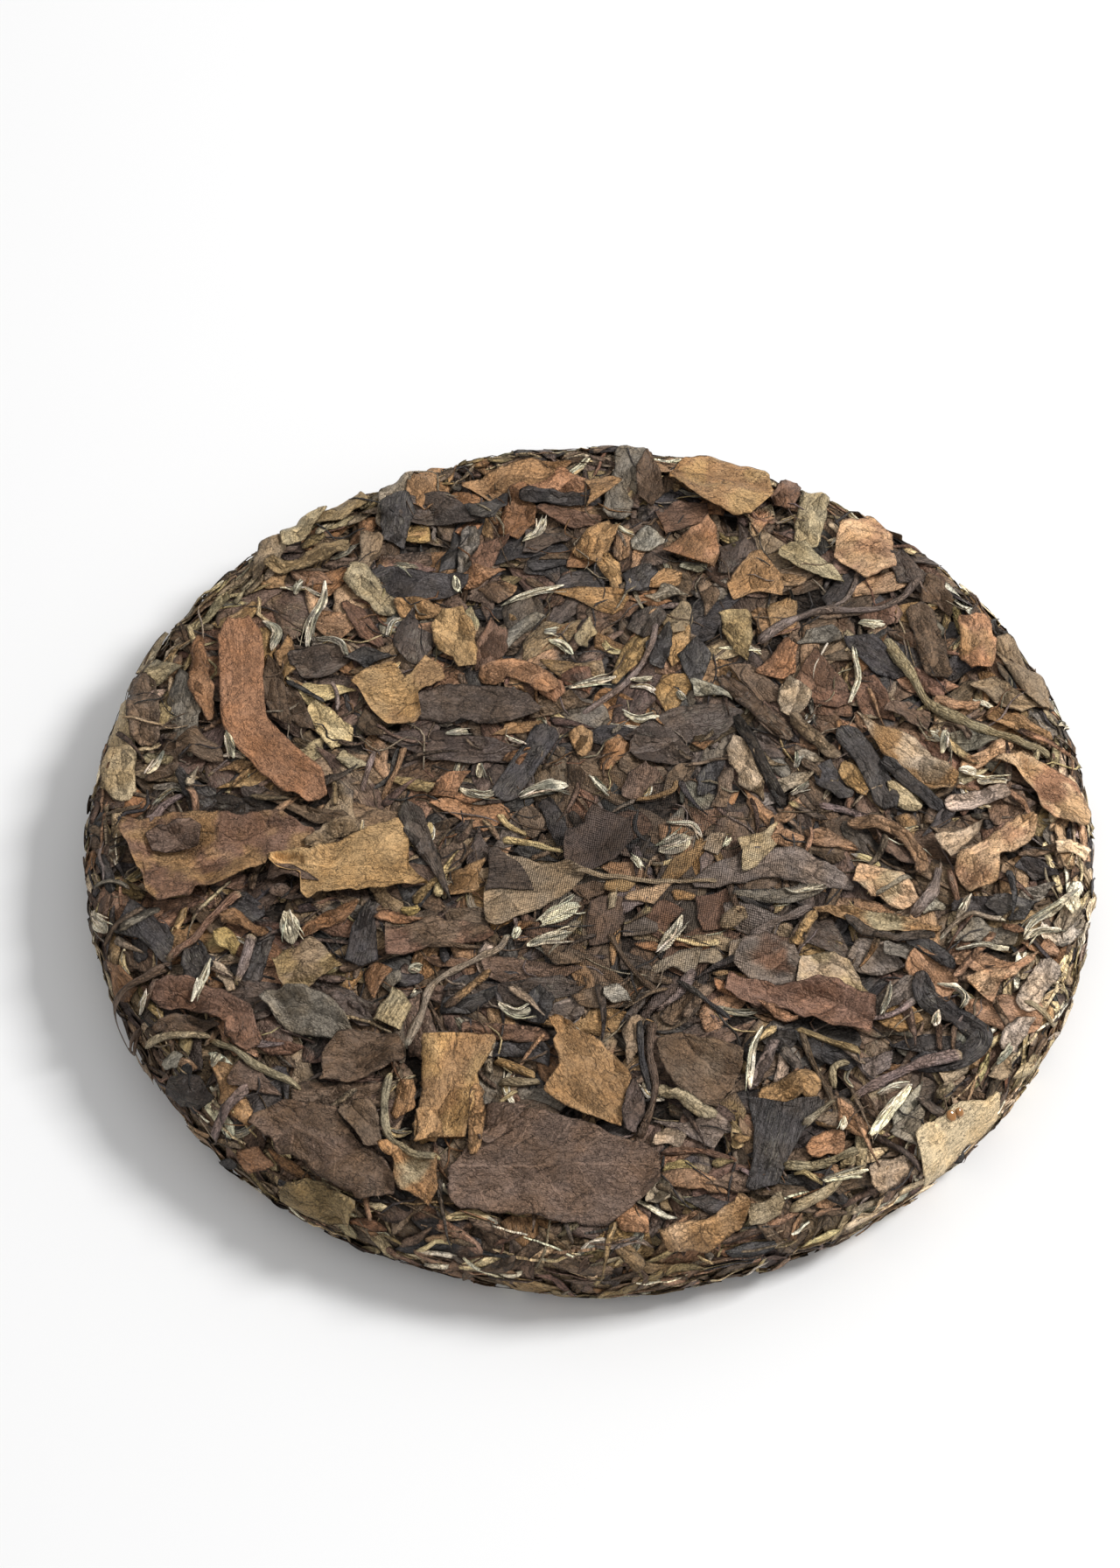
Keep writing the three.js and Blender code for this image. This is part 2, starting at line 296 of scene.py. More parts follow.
facePile = Pile(footReach + 4, footReach - 2, (0.25, 0.5))
underPile = Pile(shoulder + 12, shoulder + 4, (0.25, 0.25))
laterLoose = (0.62, 0.9)  # for the leaves laid after the first press


def swell(x, y):
    wide = cake["swellWide"]
    return cake["swell"] * 2 * (crumple(x / wide + 20, y / wide + 20, 3, 2) - 0.5)


sideLightAndFade = {"each": 0.0009, "far": 95}  # tints grow paler to the right: mostly painted light from the window side, partly paler leaves


def sideLitAndFaded(x):
    return (1 + sideLightAndFade["each"] * np.clip(x, -sideLightAndFade["far"], sideLightAndFade["far"]))[..., None]


# One kind of piece, gathered into one mesh
leafSeeds, stemSeeds = (41.0, 97), (29.0, 89)  # steps between the grains of two pieces, and how many differ
lowerShare = 4  # undersides take a smaller part of the bake
plainBlade = (9.0, 0.0, 1.0)  # far from an edge, no veins


class Bunch:
    def __init__(self, name, pile=facePile, lie=onCake):
        self.name, self.pile, self.lie = name, pile, lie
        self.slabs, self.tubes = [], []

    def slab(self, top, bottom, tint, along, across, blade, size):
        # painted light: tints grow paler towards the right
        self.slabs.append((top, bottom, tint * sideLitAndFaded(top[0]), along, across, blade, size))

    def tube(self, ring, tint, along, across, size):
        # painted light: tints grow paler towards the right
        self.tubes.append((ring, tint * sideLitAndFaded(ring[0]), along, across, size))

    def place(self, x, y, z):
        h = self.pile.squeezed(x, y, z)
        if self.lie is onCake:
            h = h + swell(x, y)
        return self.lie(x, y, h)

    def build(self, finish):
        self.made = {"co": [], "faces": [], "loops": [], "flat": [], "tint": [], "grain": [], "blade": []}
        self.base = 0
        rects = [size for *_, size in self.slabs]
        rects += [(w / lowerShare, h / lowerShare) for w, h in rects]
        rects += [size for *_, size in self.tubes]
        corners, side = shelves(rects)
        slabCount = len(self.slabs)
        for n, slab in enumerate(self.slabs):
            self.addSlab(n, slab, corners[n], corners[n + slabCount], side)
        for n, tube in enumerate(self.tubes):
            self.addTube(n, tube, corners[n + 2 * slabCount], side)
        return self.mesh(finish)

    def addSlab(self, n, slab, corner, lowerCorner, side):
        top, bottom, tint, along, across, blade, size = slab
        faces, flat = slabFaces(*along.shape)
        count = along.size
        co = np.concatenate([self.place(*top).reshape(-1, 3), self.place(*bottom).reshape(-1, 3)])
        spot = spread(along.shape[0], along.shape[1], size)
        uvTop = (spot + corner) / side
        uvBottom = (spot / lowerShare + lowerCorner) / side
        loops = np.concatenate([uvTop, uvBottom])[faces]
        loops[flat] = uvTop[faces[flat] % count]
        grain = grainOf(along, across, leafSeeds, n)
        blade = np.stack([np.broadcast_to(b, along.shape).ravel() for b in blade], -1)
        self.gather(co, faces, loops, flat, np.tile(tint.reshape(-1, 3), (2, 1)), np.tile(grain, (2, 1)),
                    np.tile(blade, (2, 1)))

    def addTube(self, n, tube, corner, side):
        ring, tint, along, across, size = tube
        faces, uvFaces = tubeFaces(*along.shape)
        co = self.place(*ring).reshape(-1, 3)
        uv = (spread(along.shape[0], along.shape[1] + 1, size) + corner) / side
        grain = grainOf(along, across, stemSeeds, n)
        self.gather(co, faces, uv[uvFaces], np.zeros(len(faces), bool), tint.reshape(-1, 3), grain,
                    np.tile(plainBlade, (along.size, 1)))

    def gather(self, co, faces, *values):
        for key, value in zip(self.made, (co, faces + self.base, *values)):
            self.made[key].append(value)
        self.base += len(co)

    def mesh(self, finish):
        made = {key: np.concatenate(value) for key, value in self.made.items()}
        mesh = bpy.data.meshes.new(self.name)
        mesh.vertices.add(len(made["co"]))
        mesh.vertices.foreach_set("co", (made["co"] * mm).astype(np.float32).ravel())
        mesh.loops.add(made["faces"].size)
        mesh.loops.foreach_set("vertex_index", made["faces"].astype(np.int32).ravel())
        mesh.polygons.add(len(made["faces"]))
        mesh.polygons.foreach_set("loop_start", np.arange(0, made["faces"].size, 4, dtype=np.int32))
        mesh.polygons.foreach_set("use_smooth", ~made["flat"])
        mesh.update(calc_edges=True)
        addLayers(mesh, made["tint"], made["grain"], made["blade"])
        uv = mesh.uv_layers.new(name="OFBake")
        uv.data.foreach_set("uv", made["loops"].astype(np.float32).ravel())
        piece = putIn(self.name, mesh)
        mesh.materials.append(finish)
        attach(piece, "root")
        print(self.name, "made,", 2 * len(made["faces"]), "triangles")
        return piece


def spread(rows, columns, size):  # an even grid over a rectangle
    u, v = np.meshgrid(np.linspace(0, 1, rows), np.linspace(0, 1, columns), indexing="ij")
    return np.stack([u.ravel() * size[0], v.ravel() * size[1]], -1)


def grainOf(along, across, seeds, n):
    seed = seeds[0] * (n % seeds[1])
    return np.stack([along.ravel() + seed, across.ravel() + seed / 3, np.full(along.size, seed)], -1)


def addLayers(mesh, tint, grain, blade):
    layer = mesh.attributes.new("tint", "FLOAT_COLOR", "POINT")
    layer.data.foreach_set("color", np.insert(tint, 3, 1, 1).astype(np.float32).ravel())
    for name, values in (("grain", grain), ("blade", blade)):
        layer = mesh.attributes.new(name, "FLOAT_VECTOR", "POINT")
        layer.data.foreach_set("vector", values.astype(np.float32).ravel())


def shelves(rects, gap=0.3):  # lays the rectangles of a bake out in rows
    area = sum((w + gap) * (h + gap) for w, h in rects)
    side = math.sqrt(area) * 1.04 + max(w for w, h in rects) / 4
    corners = np.zeros((len(rects), 2))
    x = y = rowTall = 0.0
    for n in sorted(range(len(rects)), key=lambda k: -rects[k][1]):
        w, h = rects[n]
        if x + w + gap > side:
            x, y, rowTall = 0.0, y + rowTall, 0.0
        corners[n] = x + gap / 2, y + gap / 2
        x, rowTall = x + w + gap, max(rowTall, h + gap)
    return corners, max(side, y + rowTall)


@functools.cache
def slabFaces(rows, columns):  # a grid above, the same grid below, and walls between their edges
    index = np.arange(rows * columns).reshape(rows, columns)
    a, b, c, d = (g.ravel() for g in (index[:-1, :-1], index[1:, :-1], index[1:, 1:], index[:-1, 1:]))
    top = np.stack([a, b, c, d], -1)
    bottom = np.stack([d, c, b, a], -1) + index.size
    loop = np.concatenate([index[:-1, 0], index[-1, :-1], index[:0:-1, -1], index[0, :0:-1]])
    after = np.roll(loop, -1)
    walls = np.stack([loop + index.size, after + index.size, after, loop], -1)
    flat = np.repeat([False, True], [2 * len(top), len(walls)])
    return np.concatenate([top, bottom, walls]), flat


def ringFaces(row, column, after, across):
    return np.stack([row * across + column, row * across + after, (row + 1) * across + after,
                     (row + 1) * across + column], -1)


@functools.cache
def tubeFaces(rows, sides):  # a ring of faces between rows, and a fan over each end
    row, column = (g.ravel() for g in np.meshgrid(np.arange(rows - 1), np.arange(sides), indexing="ij"))
    fan = np.array([[0, k, k + 1, k + 2] for k in range(1, sides - 1, 2)])
    faces = ringFaces(row, column, (column + 1) % sides, sides)
    uvFaces = ringFaces(row, column, column + 1, sides + 1)
    return (np.concatenate([faces, fan[:, ::-1], fan + (rows - 1) * sides]),
            np.concatenate([uvFaces, fan[:, ::-1], fan + (rows - 1) * (sides + 1)]))


# Tints, as seen on the lit leaves
tints = {
    "rust": (107, 78, 54), "clay": (124, 97, 75), "brick": (91, 69, 56), "tan": (138, 123, 98),
    "fawn": (110, 94, 75), "ochre": (136, 110, 76), "copper": (122, 95, 66), "orange": (126, 93, 69),
    "umber": (86, 71, 58), "bark": (76, 61, 48), "cocoa": (84, 68, 58),
    "plum": (68, 58, 52),
    "coal": (54, 50, 49), "soot": (43, 36, 31), "moss": (118, 100, 72),
    "olive": (104, 88, 60), "khaki": (138, 118, 78), "hemp": (135, 122, 98),
    "reed": (122, 110, 88), "sage": (122, 117, 104), "slate": (96, 89, 80),
    "silver": (190, 183, 168), "cream": (205, 196, 174), "straw": (162, 144, 108), "mauve": (106, 93, 88),
    "reddish": (110, 82, 68), "stone": (124, 112, 96), "buff": (190, 169, 138),
    "peach": (152, 125, 98), "shell": (150, 133, 120), "rose": (139, 122, 103),
    "taupe": (94, 84, 77), "wovenTan": (125, 108, 90), "amber": (150, 104, 56), "sand": (154, 138, 110),
}
strayEach = (0.25, 0.2, 0.3)  # how far red, green and blue stray on their own


def linear(rgb):
    c = np.asarray(rgb, float) / 255
    return np.where(c < 0.04045, c / 12.92, ((c + 0.055) / 1.055) ** 2.4)


def tintOf(name, stray=0.0):
    return linear(tints[name]) * (1 + stray * dice.normal(size=3) * strayEach + stray * dice.normal())


def pick(mix):
    names = list(mix)
    shares = np.array([mix[n] for n in names], float)
    return names[dice.choice(len(names), p=shares / shares.sum())]


def between(pair):
    return dice.uniform(*pair)


def sometimes(values, chance):  # each value with this chance, or else nothing
    return values * (dice.random(len(values)) < chance)


# Outlines and paths
def aheadOf(angle):
    return np.array([math.cos(angle), math.sin(angle)])


def leftOf(way):
    return np.array([-way[1], way[0]])


curveSteps, lengthSteps = 12, 60


def smoothPath(points, count):  # a curve through the points, evenly spaced
    points = np.asarray(points, float)
    if len(points) == 2:
        return points[0] + (points[1] - points[0]) * np.linspace(0, 1, count)[:, None]
    ends = np.vstack([2 * points[0] - points[1], points, 2 * points[-1] - points[-2]])
    t = np.linspace(0, 1, curveSteps, endpoint=False)[:, None]
    made = []
    for p, q, r, s in zip(ends, ends[1:], ends[2:], ends[3:]):
        made.append(((2 * q) + (r - p) * t + (2 * p - 5 * q + 4 * r - s) * t**2
                     + (3 * q - 3 * r + s - p) * t**3) / 2)
    made = np.vstack(made + [points[-1:]])
    gone = np.append(0, np.cumsum(np.linalg.norm(np.diff(made[:, :2], axis=0), axis=1)))
    spots = np.linspace(0, gone[-1], count)
    return np.stack([np.interp(spots, gone, made[:, k]) for k in range(made.shape[1])], -1)


def pathLength(points):
    return np.linalg.norm(np.diff(smoothPath(points, lengthSteps)[:, :2], axis=0), axis=1).sum()


def asideOf(line):  # unit vectors square to a path
    step = np.gradient(line, axis=0)
    return np.stack([-step[:, 1], step[:, 0]], -1) / np.maximum(np.linalg.norm(step, axis=1), 1e-9)[:, None]


def outlineEdges(outline, middle, turn, count):
    ahead = aheadOf(turn)
    offset = np.asarray(outline, float) - middle
    a, c = offset @ ahead, offset @ leftOf(ahead)
    margin = 0.02 * (a.max() - a.min())
    stations = np.linspace(a.min() + margin, a.max() - margin, count)
    lowest, highest = np.full(count, np.inf), np.full(count, -np.inf)
    for a0, c0, a1, c1 in zip(a, c, np.roll(a, -1), np.roll(c, -1)):
        if abs(a1 - a0) < 1e-9:
            continue
        share = (stations - a0) / (a1 - a0)
        on = (share >= 0) & (share <= 1)
        lowest[on] = np.minimum(lowest, c0 + (c1 - c0) * share)[on]
        highest[on] = np.maximum(highest, c0 + (c1 - c0) * share)[on]
    return stations, lowest, highest


scrap = {"corners": (6, 9), "uneven": 0.35, "far": (0.4, 1.2)}
tear = {"uneven": 0.4, "runs": (2.6, 3.4), "tall": 0.3, "fineRun": 1.1, "fineTall": 0.14}


def scrapOutline(long, wide):  # a torn scrap: a few corners joined by straight tears
    count = int(dice.integers(*scrap["corners"]))
    uneven = dice.uniform(-scrap["uneven"], scrap["uneven"], count)
    angle = np.sort((np.arange(count) + uneven) / count * fullTurn + dice.uniform(0, fullTurn))
    far = dice.uniform(*scrap["far"], count)
    corners = np.stack([far * np.cos(angle), far * np.sin(angle)], -1)
    return corners / np.abs(corners).max(0) * (long / 2, wide / 2)


def zigzag(stations, run, tall):  # an edge torn in short straight runs
    knots = np.arange(stations[0] - run, stations[-1] + 2 * run, run)
    knots = knots + dice.uniform(-tear["uneven"], tear["uneven"], len(knots)) * run
    return np.interp(stations, knots, dice.normal(0, tall, len(knots)))


def frayed(stations, run):
    return zigzag(stations, run, tear["tall"]) + zigzag(stations, tear["fineRun"], tear["fineTall"])


def bladeShape(u, style):
    body = np.ones_like(u)
    if style in ("whole", "half"):
        body = np.sin(math.pi * (0.04 + 0.92 * u)) ** 0.75
    elif style == "strip":
        body = np.clip(7 * np.minimum(u + 0.05, 1.05 - u), 0, 1) ** 0.7
    elif style == "point":
        body = np.clip(1.25 * (1 - u) + 0.08, 0, 1) * np.clip(8 * (u + 0.06), 0, 1)
    if style == "half":
        return np.full_like(u, 0.12), 1.7 * body
    return body, body


# Leaves: thin solids, both faces on the same grid, that lie on the pile
leafDefaults = {
    "style": "scrap", "bend": 0, "cell": 0.8, "thick": 0.26, "tint": "umber", "stray": 0.1, "blot": None,
    "jag": 0.5, "ragged": 0.9, "slant": 0,  # torn sides, torn ends
    "roll": (0, 0), "rollRadius": 0.6, "lift": (0, 0, 0, 0),  # both sides; both ends, then both sides
    "wrinkle": 0.22, "pleats": 0, "pleatHeight": 0.4, "folds": 2, "steep": 0.16, "sunk": 0.2,
    "veins": 0.5, "rib": 0.12, "spacing": None, "stiff": 4, "gap": 0.05, "lean": 0,
}
# Waves over a leaf: lengths along and across, shifts along and across, step of the key, octaves
leafWaves = {
    "wrinkle": (3.4, 2.2, 0, 0, 0, 3), "ridge": (7.0, 4.0, 50, 0, 3, 2), "pleat": (9, 5, 0, 30, 0, 2),
    "patch": (4.5, 3.5, 11, 0, 7, 3), "blot": (6, 5, 70, 0, 11, 3),
}
leafForm = {
    "wrinkle": 1.3, "ridge": 2.2, "ridgeWide": 0.3, "ribWide": 0.6,  # heights and widths
    "pleatSpread": 1.6, "pleatBend": 2.5, "pleatStep": 1.57, "thinEdge": 0.45,
    "patch": (0.78, 0.44), "blotSharp": 7, "blotMore": 0.35,  # tones
    "spacing": (1.2, 0.26), "spacings": (1.8, 7),  # of the side veins
    "rows": 4, "columns": 3, "cellShape": 1.5, "narrowest": 0.3, "tapering": 3, "ragged": (1.4, 1.6, 0.6),
}
leafKeys = (1, 60)


def waved(name, along, t, key):
    long, wide, ahead, aside, step, octaves = leafWaves[name]
    return crumple(along / long + ahead, t / wide + aside, key + step, octaves)


# Half the folds run along the leaf and half slant over it; turns in radians
foldForm = {"along": (0, 0.5), "slanting": (0.95, 0.2), "aside": 0.35, "ahead": 0.4, "reach": (1.2, 0.3)}


def folded(along, t, long, wide, leaf):  # flat facets between straight folds
    height = np.zeros_like(t)
    aside, ahead = foldForm["aside"], foldForm["ahead"]
    least, each = foldForm["reach"]
    for _ in range(leaf["folds"]):
        if dice.random() < 0.5:
            turn = dice.normal(*foldForm["along"])
        else:
            turn = dice.choice((-1, 1)) * dice.normal(*foldForm["slanting"])
        beside = t - dice.uniform(-aside, aside) * wide
        beyond = along - dice.uniform(-ahead, ahead) * long
        away = beside * math.cos(turn) + beyond * math.sin(turn)
        height += dice.normal(0, leaf["steep"]) * np.minimum(np.abs(away), least + each * wide)
    return height - np.quantile(height, leaf["sunk"])


def planLeaf(leaf):  # where the leaf lies and how large it is, in flat coordinates
    if "path" in leaf:
        path = toFlat(leaf["path"]) if leaf.get("seen", True) else np.asarray(leaf["path"], float)
        return {"path": path, "long": pathLength(path), "wide": leaf["wide"]}
    turn = math.radians(leaf["turn"])
    if "outline" in leaf:
        outline = toFlat(leaf["outline"])
        ahead = aheadOf(turn)
        return {"outline": outline, "middle": outline.mean(0), "turn": turn, "long": np.ptp(outline @ ahead),
                "wide": np.ptp(outline @ leftOf(ahead))}
    middle = toFlat(leaf["at"]) if leaf.get("seen") else np.array(leaf["at"])
    return {"middle": middle, "turn": turn, "long": leaf["size"][0], "wide": leaf["size"][1]}


def leafEdges(leaf, plan, u):  # stations along the leaf, and its torn edges on both sides
    rows, long, wide = len(u), plan["long"], plan["wide"]
    if "outline" in plan:
        stations, lowest, highest = outlineEdges(plan["outline"], plan["middle"], plan["turn"], rows)
    elif leaf["style"] == "scrap" and "path" not in plan:
        stations, lowest, highest = outlineEdges(scrapOutline(long, wide), np.zeros(2), 0, rows)
    else:
        left, right = bladeShape(u, leaf["style"])
        stations, lowest, highest = (u - 0.5) * long, -left * wide / 2, right * wide / 2
    taper = np.minimum(1, (highest - lowest) / leafForm["tapering"])
    lowFray, highFray = (frayed(stations, run) * leaf["jag"] * taper for run in tear["runs"])
    return stations, lowest + lowFray, highest + highFray


def rollEdges(leaf, t, lowest, highest):  # sides that roll over
    across, rolled, turnedBy = t.copy(), np.zeros_like(t), np.zeros_like(t)
    radius = leaf["rollRadius"]
    for side, edge, length in zip((-1, 1), (-lowest, highest), leaf["roll"]):
        if length <= 0:
            continue
        start = edge[:, None] - length
        over = np.clip(side * t - start, 0, None)
        angle = over / radius
        across = np.where(over > 0, side * (start + radius * np.sin(angle)), across)
        rolled = np.where(over > 0, radius * (1 - np.cos(angle)), rolled)
        turnedBy = np.where(over > 0, side * angle, turnedBy)
    return across, rolled, turnedBy


def leafLine(leaf, plan, stations, u):  # the leaf's middle line and its heading
    rows = len(u)
    if "path" in plan:
        line = smoothPath(plan["path"], rows)
        step = np.gradient(line[:, :2], axis=0)
        return line[:, 0], line[:, 1], np.unwrap(np.arctan2(step[:, 1], step[:, 0]))
    middle, turn, step = plan["middle"], plan["turn"], stations[1] - stations[0]
    heading = turn + math.radians(leaf["bend"]) * (u - 0.5)
    px = middle[0] + np.cumsum(np.cos(heading)) * step
    py = middle[1] + np.cumsum(np.sin(heading)) * step
    px, py = px - px[rows // 2] + middle[0], py - py[rows // 2] + middle[1]
    if "outline" in plan:
        shift = stations[rows // 2]
        px, py = px + shift * math.cos(turn), py + shift * math.sin(turn)
    return px, py, heading


def leafHeight(leaf, plan, base, along, t, uu, vv, key):  # above the base it lies on
    z = base + leaf["wrinkle"] * leafForm["wrinkle"] * (waved("wrinkle", along, t, key) - 0.5)
    ridge = np.abs(waved("ridge", along, t, key) - 0.5) * 2
    z = z + leaf["wrinkle"] * leafForm["ridge"] * np.maximum(0, leafForm["ridgeWide"] - ridge)
    z = z + folded(along, t, plan["long"], plan["wide"], leaf)
    z = z + leaf["rib"] * np.exp(-((t / leafForm["ribWide"]) ** 2)) * leaf["veins"]
    start, end, left, right = leaf["lift"]
    z = z + start * (1 - uu) ** 3 + end * uu**3
    z = z + left * np.maximum(0, -vv) ** 3 + right * np.maximum(0, vv) ** 3
    z = z + leaf["lean"] * t
    if leaf["pleats"]:
        bend = leafForm["pleatBend"] * (waved("pleat", along, t, key) - 0.5)
        wave = (leaf["pleats"] * vv * leafForm["pleatSpread"] + bend) * leafForm["pleatStep"]
        z = z + leaf["pleatHeight"] * (1 - np.abs(np.sin(wave + key)) * 2) * 0.5
    return z


def leafTint(leaf, along, t, key):
    tint = tintOf(leaf["tint"], leaf["stray"]) * np.ones(t.shape + (1,))
    darkest, more = leafForm["patch"]
    tint = tint * (darkest + more * waved("patch", along, t, key)[..., None])
    if leaf["blot"]:
        share = (waved("blot", along, t, key)[..., None] - 0.5) * leafForm["blotSharp"] + leafForm["blotMore"]
        share = np.clip(share, 0, 1)
        tint = tint * (1 - share) + tintOf(leaf["blot"], leaf["stray"]) * share
    return tint


def layLeaf(bunch, **given):
    leaf = {**leafDefaults, **given}
    key = int(dice.integers(*leafKeys))
    plan = planLeaf(leaf)
    long, wide = plan["long"], plan["wide"]
    rows = max(leafForm["rows"], int(round(long / leaf["cell"])) + 1)
    columns = int(round(wide / (leafForm["cellShape"] * leaf["cell"]))) // 2 * 2 + 1
    columns = max(leafForm["columns"], columns)
    u, v = np.linspace(0, 1, rows), np.linspace(-1, 1, columns)
    uu, vv = u[:, None], v[None, :]
    stations, lowest, highest = leafEdges(leaf, plan, u)
    breadth = np.maximum(highest - lowest, leafForm["narrowest"])
    t = ((highest + lowest) / 2)[:, None] + breadth[:, None] / 2 * vv
    along = np.broadcast_to(stations[:, None], t.shape)
    end = np.sign(uu - 0.5)
    ends = (2 * np.abs(uu - 0.5)) ** 6 * end
    far, run, mean = leafForm["ragged"]
    along = along + ends * leaf["ragged"] * far * (crumple(t / run, key + end * 5, key) - mean)
    along = along + np.abs(ends) * t * np.where(u < 0.5, *dice.normal(0, leaf["slant"], 2))[:, None]

    across, rolled, turnedBy = rollEdges(leaf, t, lowest, highest)
    px, py, heading = leafLine(leaf, plan, stations, u)
    slide = along - stations[:, None]
    cos, sin = np.cos(heading)[:, None], np.sin(heading)[:, None]
    x, y = px[:, None] + slide * cos - across * sin, py[:, None] + slide * sin + across * cos
    base = bunch.pile.settle(x, y, leaf["stiff"]) + leaf["thick"] + leaf["gap"] + rolled
    z = leafHeight(leaf, plan, base, along, t, uu, vv, key)
    bunch.pile.lay(x, y, z)
    thick = leaf["thick"] * (1 - leafForm["thinEdge"] * np.abs(vv) ** 6) * np.ones_like(uu)
    below = across + thick * np.sin(turnedBy)
    bottom = (px[:, None] + slide * cos - below * sin, py[:, None] + slide * sin + below * cos,
              z - thick * np.cos(turnedBy))
    tint = leafTint(leaf, along, t, key)
    inside = np.minimum((1 - np.abs(vv)) * breadth[:, None] / 2, np.minimum(uu, 1 - uu) * long)
    least, each = leafForm["spacing"]
    spacing = leaf["spacing"] or np.clip(least + each * wide, *leafForm["spacings"])
    blade = (inside, leaf["veins"], spacing)
    bunch.slab((x, y, z), bottom, tint, along, t, blade, (long, max(wide, 0.5)))


# Stems and strands: tubes that lie on the pile
stemDefaults = {
    "thick": 1.6, "sides": 6, "step": 1.2, "proud": 0.3, "squash": 0.75, "taper": 0.2, "ridges": 0.2,
    "tint": "mauve", "tip": None, "stray": 0.1, "lift": None, "knots": 0.3, "sink": 0.5,
}
stemForm = {
    "rows": 4, "knotLong": 3.5, "blunt": (5, 0.55), "stiff": 3, "sag": 0.15, "uneven": 0.12,
    "unevenLong": 1.5, "patchLong": 5, "patch": (0.8, 0.4), "tipLong": 1.4, "tipShare": 0.8,
}


def layStem(bunch, path, **given):
    stem = {**stemDefaults, **given}
    flat = np.asarray(path, float)[:, :2]
    flat = toFlat(flat) if stem.get("seen") else flat
    long, thick = pathLength(flat), stem["thick"]
    rows = max(stemForm["rows"], int(round(long / stem["step"])) + 1)
    line = smoothPath(flat, rows)
    key = int(dice.integers(*leafKeys))
    u = np.linspace(0, 1, rows)
    side = asideOf(line)
    knots = 1 + stem["knots"] * (lumps(u * long / stemForm["knotLong"], key, key) * 2 - 1)
    radius = thick / 2 * (1 - stem["taper"] * u) * knots
    sharp, end = stemForm["blunt"]
    radius = radius * np.clip(sharp * np.minimum(u * long, (1 - u) * long) / thick + end, 0, 1)
    base = bunch.pile.settle(line[:, :1], line[:, 1:2], stemForm["stiff"])[:, 0]
    for away in (-0.5, 0.5):
        near = line + side * radius[:, None] * away
        base = np.maximum(base, bunch.pile.at(near[:, 0], near[:, 1]) - stemForm["sag"])
    base = eased(base[:, None] * np.ones((1, 3)))[:, 0]
    middle = base + radius * stem["proud"] - stem["sink"] * thick * (2 * np.abs(u - 0.5)) ** 12
    if stem["lift"] is not None:
        middle = middle + np.interp(u, np.linspace(0, 1, len(stem["lift"])), stem["lift"])
    angle = np.linspace(0, fullTurn, stem["sides"], endpoint=False)
    uneven = lumps(u[:, None] * long / stemForm["unevenLong"], angle[None, :] * 2, key) - 0.5
    uneven = stemForm["uneven"] * uneven
    ring = radius[:, None] * (1 + stem["ridges"] * np.cos(3 * angle + key)[None, :] + uneven)
    x = line[:, :1] + side[:, :1] * ring * np.cos(angle)
    y = line[:, 1:] + side[:, 1:] * ring * np.cos(angle)
    z = middle[:, None] + ring * np.sin(angle) * stem["squash"]
    edge = np.linspace(-1, 1, 4)
    aside = side * radius[:, None]
    bunch.pile.lay(line[:, :1] + aside[:, :1] * edge, line[:, 1:] + aside[:, 1:] * edge,
                   middle[:, None] + radius[:, None] * np.sqrt(np.maximum(0, 1 - edge**2)) * stem["squash"])
    tint = tintOf(stem["tint"], stem["stray"]) * np.ones(x.shape + (1,))
    darkest, more = stemForm["patch"]
    tint = tint * (darkest + more * crumple(u * long / stemForm["patchLong"], key, key)[:, None, None])
    if stem["tip"]:
        share = np.clip(1 - np.minimum(u, 1 - u) * long / stemForm["tipLong"], 0, 1)
        share = share[:, None, None] * stemForm["tipShare"]
        tint = tint * (1 - share) + tintOf(stem["tip"], stem["stray"]) * share
    along = np.broadcast_to((u * long)[:, None], x.shape)
    across = np.broadcast_to(angle[None, :] * thick / 2, x.shape)
    bunch.tube((x, y, z), tint, along, across, (long, math.pi * thick))


# Buds: a narrow pleated leaf with hairs along it
budLeaf = {
    "style": "whole", "cell": 0.45, "stray": 0.1, "pleatHeight": 0.35, "wrinkle": 0.15, "jag": 0.2,
    "ragged": 1.6, "veins": 0, "stiff": 2, "thick": 0.3, "lift": (0, 0.4, 0, 0),
}
budHair = {
    "points": 8, "thick": (0.3, 0.55), "first": (0, 4), "last": (6, 9), "sameTint": 0.7,
    "place": (-0.45, 0.45), "splay": (0.5, 1.1), "waver": 0.05, "bladeShare": 0.85,
}
hairGrid = {"sides": 4, "proud": 0.5, "taper": 0.4, "stray": 0.12, "sink": 0.2}


def layBud(bunch, path, wide, seen=False, tint="silver", tip="straw", hairs=4):
    flat = toFlat(path) if seen else np.asarray(path, float)
    long = pathLength(flat)
    layLeaf(bunch, path=flat, seen=False, wide=wide * budHair["bladeShare"], tint=tint, blot=tip,
            pleats=max(1, int(wide)), **budLeaf)
    points = budHair["points"]
    line, u = smoothPath(flat, points), np.linspace(0, 1, points)
    side = asideOf(line)
    least, more = budHair["splay"]
    for _ in range(hairs):
        place = between(budHair["place"])
        sway = place * wide * (least + more * u**2)
        sway = sway + np.cumsum(dice.normal(0, budHair["waver"], points)) * wide
        strand = line + side * sway[:, None]
        first = int(dice.integers(*budHair["first"]))
        last = int(dice.integers(*budHair["last"]))
        thick = between(budHair["thick"])
        hairTint = tint if dice.random() < budHair["sameTint"] else tip
        layStem(bunch, strand[first:last], thick=thick, tint=hairTint, step=max(0.8, long / 10), **hairGrid)


# Flakes: leaf layers seen edge-on round the rim
flakeForm = {
    "cell": 1.2, "rows": 4, "columns": 3, "stray": 0.12,
    "wander": 0.7, "wanderLong": 4, "edge": (0.35, 0.9), "edgeLong": 1.8,
    "droop": 0.25, "droopMean": 0.3, "droopLong": 3, "patch": (0.75, 0.5), "patchLong": 3,
}


